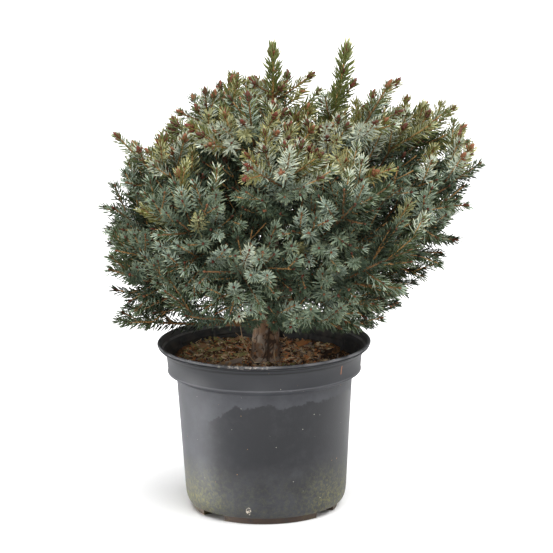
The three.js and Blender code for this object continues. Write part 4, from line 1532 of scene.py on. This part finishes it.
def cut(made, cutter):
    """Cuts one object out of another for good."""
    modifier = made.modifiers.new("cut", "BOOLEAN")
    modifier.object = cutter
    modifier.operation = "DIFFERENCE"
    modifier.solver = "EXACT"
    graph = bpy.context.evaluated_depsgraph_get()
    result = bpy.data.meshes.new_from_object(made.evaluated_get(graph))
    made.modifiers.remove(modifier)
    made.data = result
    bpy.data.objects.remove(cutter)


def make_pot(outside, inside):
    """The pot with the gaps between its feet and its drain holes, and the webs inside its collar."""
    pot = make_one("pot_shell", turned(pot_profile(), POT_SIDES), [outside, inside])
    gaps, drains, webs = Shapes(), Shapes(), Shapes()
    half = math.radians(FOOT_GAP_ANGLE / 2)
    inner = FOOT_INNER_RADIUS - 2 * FOOT_DRAFT
    for facing in (-90, 90):
        for side in (-FOOT_GAP_PLACE, FOOT_GAP_PLACE):
            middle = math.radians(facing + side + FOOT_TURN)
            gaps.add(*sector(middle, half, inner, FLOOR_RADIUS, -FOOT_HEIGHT, FOOT_HEIGHT))
            place = DRAIN_DISTANCE * np.array([math.cos(middle), math.sin(middle), 0.0])
            ends = np.array([place - UP * FOOT_HEIGHT, place + UP * (FLOOR_TOP + FOOT_HEIGHT)])
            drains.add(*stick(ends, np.tile(UP, (2, 1)), [DRAIN_RADIUS, DRAIN_RADIUS], DRAIN_SIDES))
    cut(pot, gaps.make("pot_gaps", []))
    cut(pot, drains.make("pot_drains", []))
    pot.data.set_sharp_from_angle(angle=math.radians(SHARP_ANGLE))
    for face in pot.data.polygons:
        looks_out = face.normal.x * face.center.x + face.normal.y * face.center.y
        face.material_index = int(looks_out < 0 and face.center.z > FLOOR_TOP * MM)
    for i in range(GUSSET_COUNT):
        webs.add(*gusset(math.radians(GUSSET_TURN + 360 / GUSSET_COUNT * i)))
    return pot, webs.make("pot_gussets", [inside], smooth=False)


# Soil

def hill(x, y, middle_x, middle_y, size):
    """A round hill of height 1."""
    return bell(np.hypot(x - middle_x, y - middle_y), size)


def soil_height(x, y):
    turn = WHOLE_TURN / SOIL_WAVE
    bumps = np.sin(turn * x) * np.cos(turn * y) + np.sin(2 * turn * (x - y)) / 2
    bumps = bumps * smoothstep(SOIL_FLAT_RADIUS, 2 * SOIL_FLAT_RADIUS, np.hypot(x, y))
    mound = SOIL_MOUND * hill(x, y, *SOIL_MOUND_PLACE)
    dip = SOIL_DIP * hill(x, y, *SOIL_DIP_PLACE)
    return SOIL_Z + mound - dip + SOIL_BUMP * bumps


def make_soil(material):
    """The soil in the pot, with a crumbly top."""
    inset = POT_WALL + SOIL_CLEARANCE
    lift = POT_WALL / 2 + GAP
    floor_z = FLOOR_TOP + GAP
    edge = COLLAR_LOW_RADIUS - inset
    profile = [
        (0, floor_z),
        (FLOOR_RADIUS - SOIL_CLEARANCE, floor_z),
        (BODY_LOW_RADIUS - inset, BODY_LOW_Z),
        (BODY_TOP_RADIUS - inset, BODY_TOP_Z + lift),
        (edge, COLLAR_LOW_Z + lift),
    ]
    profile += [(edge * (1 - i / SOIL_RINGS), SOIL_Z) for i in range(SOIL_RINGS + 1)]
    points, polygons = turned(np.array(profile, float), SOIL_SIDES)
    top = np.abs(points[:, 2] - SOIL_Z) < GAP
    places = points[top]
    x, y, _ = places.T
    away = smoothstep(0, SOIL_SMOOTH_EDGE, edge - np.hypot(x, y))
    points[top, 2] = soil_height(x, y) + SOIL_GRAIN * away * grain(places, SOIL_GRAIN_SIZE)
    return make_one("soil_bed", (points, polygons), [material])


SQUARE = ((-0.5, -0.5), (0.5, -0.5), (0.5, 0.5), (-0.5, 0.5))
BLOCK = np.array([[x, y, z] for z in (-0.5, 0.5) for x, y in SQUARE])
BLOCK_FACES = np.array([[3, 2, 1, 0], [4, 5, 6, 7], [0, 1, 5, 4], [1, 2, 6, 5], [2, 3, 7, 6], [3, 0, 4, 7]])


def add_chip(shapes, place, yaw, tilt, size, slot, rng):
    """A flat splinter of bark, uneven and warped."""
    corners = BLOCK * (np.array(size) * rng.uniform(*CHIP_UNEVENNESS, BLOCK.shape))
    wave = corners[:, 0] / size[0] * CHIP_WARP_TURN + rng.uniform(*CHIP_WARP_STARTS)
    corners[:, 2] += CHIP_WARP * size[0] * np.sin(wave)
    turn = Matrix.Rotation(yaw, 3, "Z") @ Matrix.Rotation(tilt[0], 3, "X") @ Matrix.Rotation(tilt[1], 3, "Y")
    shapes.add(corners @ np.array(turn).T + place, [BLOCK_FACES], slot)


def chip_tint(x, y, rng):
    """The tint of a chip: mossy at the back left, and mostly dark in the dip at the back right, as damp soil
    and painted shade both.
    """
    mossy = x < MOSSY_BEYOND[0] and y > MOSSY_BEYOND[1] and rng.uniform() < MOSSY_CHANCE
    # Dark chips in the dip stand for damp soil and for painted shade by the wall
    damp = hill(x, y, *SOIL_DIP_PLACE) > DAMP_SHADE_FROM and rng.uniform() < DAMP_SHADE_CHANCE
    if mossy:
        return MOSSY_TINT
    return DAMP_SHADE_TINT if damp else rng.choice(len(CHIP_TINTS), p=CHIP_SHARES)


def make_chips(materials, rng):
    """Bark splinters that lie all over the soil."""
    shapes = Shapes()
    edge = COLLAR_LOW_RADIUS - POT_WALL - CHIP_LENGTH[1] / 2 - CHIP_EDGE
    for _ in range(CHIP_COUNT):
        radius = edge * math.sqrt(rng.uniform(CHIP_FREE_MIDDLE, 1))
        azimuth = rng.uniform(0, WHOLE_TURN)
        x, y = radius * math.cos(azimuth), radius * math.sin(azimuth)
        length = lerp(*CHIP_LENGTH, rng.uniform() ** CHIP_LENGTH_POWER)
        width = max(CHIP_LEAST_WIDTH, length * rng.uniform(*CHIP_WIDTHS))
        size = (length, width, rng.uniform(*CHIP_THICKNESS))
        slot = chip_tint(x, y, rng)
        place = np.array([x, y, soil_height(x, y) + rng.uniform(*CHIP_LIFT)])
        add_chip(shapes, place, rng.uniform(0, WHOLE_TURN), rng.normal(0, CHIP_TILT, 2), size, slot, rng)
    for x, y, yaw, length, width, slot in FLAKES:
        place = np.array([x, y, soil_height(x, y) + FLAKE_LIFT])
        add_chip(shapes, place, math.radians(yaw), FLAKE_TILT, (length, width, FLAKE_THICKNESS), slot, rng)
    return shapes.make("bark_chips", materials, smooth=False)


def make_stalks(material):
    """Dry stalks of old weeds."""
    shapes = Shapes()
    shares = np.linspace(0, 1, STALK_STEPS)
    for *points, radius in STALKS:
        foot, top, bow = np.array(points)
        line = Bow(foot, (foot + top) / 2 + 2 * bow, top)
        radii = radius * (1 - STALK_TAPER * shares)
        shapes.add(*stick(line.point(shares), line.tangent(shares), radii, STALK_SIDES))
    return shapes.make("dry_stalks", [material])


# Stage

def looking(way):
    """The turn of a camera or a light that looks in a direction."""
    return Vector(way).to_track_quat("-Z", "Y")


def make_camera():
    data = bpy.data.cameras.new("camera")
    data.sensor_width = SENSOR_WIDTH
    data.lens = CAMERA_LENS
    camera = in_scene("camera", data)
    elevation = math.radians(CAMERA_ELEVATION)
    forward = Vector((0, math.cos(elevation), -math.sin(elevation)))
    pixel = SENSOR_WIDTH / PHOTO_SIZE / CAMERA_LENS
    yaw, pitch = (math.atan((place - PHOTO_SIZE / 2) * pixel) for place in AIM_PIXEL)
    turn = looking(forward).to_matrix() @ Matrix.Rotation(math.radians(CAMERA_ROLL), 3, "Z")
    turn = turn @ Matrix.Rotation(pitch, 3, "X") @ Matrix.Rotation(yaw, 3, "Y")
    camera.matrix_world = Matrix.Translation(AIM - CAMERA_DISTANCE * forward) @ turn.to_4x4()
    bpy.context.scene.camera = camera


def make_light(name, place, aim, size, power, spread):
    data = bpy.data.lights.new(name, "AREA")
    data.shape = "DISK"
    data.spread = math.radians(spread)
    data.size = size
    data.energy = power
    light = in_scene(name, data)
    light.location = place
    light.rotation_euler = looking(Vector(aim) - Vector(place)).to_euler()


def make_stage():
    bpy.ops.mesh.primitive_plane_add(size=GROUND_SIZE)
    floor = bpy.context.object
    floor.name = "floor"
    floor.data.materials.append(plain(*GROUND_LOOK))
    world = bpy.data.worlds.new("studio")
    world.use_nodes = True
    world.node_tree.nodes["Background"].inputs["Color"].default_value = (1.0, 1.0, 1.0, 1.0)
    world.node_tree.nodes["Background"].inputs["Strength"].default_value = WORLD_STRENGTH
    bpy.context.scene.world = world
    bpy.context.scene.view_settings.view_transform = "Standard"
    data = bpy.data.lights.new("sky", "SUN")
    data.energy = SKY_STRENGTH
    data.angle = math.radians(SKY_ANGLE)
    in_scene("sky", data).rotation_euler = looking(SKY_WAY).to_euler()
    for light in LIGHTS:
        make_light(*light)


# The whole plant

def add(piece, slot, *nodes):
    """Joins a piece to the part's body and hides the solids that it stands for; its finish, slot, is not
    used.
    """
    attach(piece, "root")
    if nodes:
        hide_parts(*nodes)


def build():
    rng = np.random.default_rng(SEED)
    shoots = grow()
    deal_tints(shoots, rng)
    needle_looks = []
    for tint, colors in TINTS.items():
        for (side, roughness, specular), color in zip(NEEDLE_SIDES, colors):
            needle_looks.append(plain(f"needle_{side}_{tint}", color, roughness, specular))
    wood = [plain(*look) for look in WOOD_LOOKS]
    bud_looks = [plain(*look) for look in BUD_LOOKS]
    bough_bark = bark_material(*BOUGH_BARK)
    for tier in [*[row[0] for row in TIERS], "leader"]:
        own = [one for one in shoots if LIMBS[one.own].tier == tier]
        limbs = [limb for limb in LIMBS if limb.tier == tier]
        pieces = math.ceil(len(limbs) / LIMBS_PER_PIECE)
        for piece in range(pieces):
            names = [limb.name for limb in limbs[piece::pieces]]
            sprays = [one for one in own if LIMBS[one.own].name in names]
            needles = make_needles(f"needles_{tier}_{piece + 1}", sprays, needle_looks, rng)
            add(needles, "needles", *[f"foliage_{name}" for name in names])
        add(make_twigs(f"twigs_{tier}", own, wood), "boughs")
        add(make_buds(f"buds_{tier}", own, bud_looks, rng), "boughs")
        if tier != "leader":
            boughs = [f"bough_{limb.name}" for limb in limbs]
            add(make_boughs(f"boughs_{tier}", limbs, bough_bark), "boughs", *boughs)
    add(make_trunk(bark_material(*TRUNK_BARK)), "trunk", "trunk")
    pot, webs = make_pot(pot_material(), pot_inside_material())
    add(pot, "pot", "pot")
    add(webs, "pot")
    add(make_soil(soil_material()), "soil", "soil")
    chips = [plain(f"chip_{i}", tint, *CHIP_FINISH) for i, tint in enumerate(CHIP_TINTS)]
    add(make_chips(chips, rng), "soil")
    add(make_stalks(plain(*STRAW_LOOK)), "soil")


make_camera()
make_stage()
build()
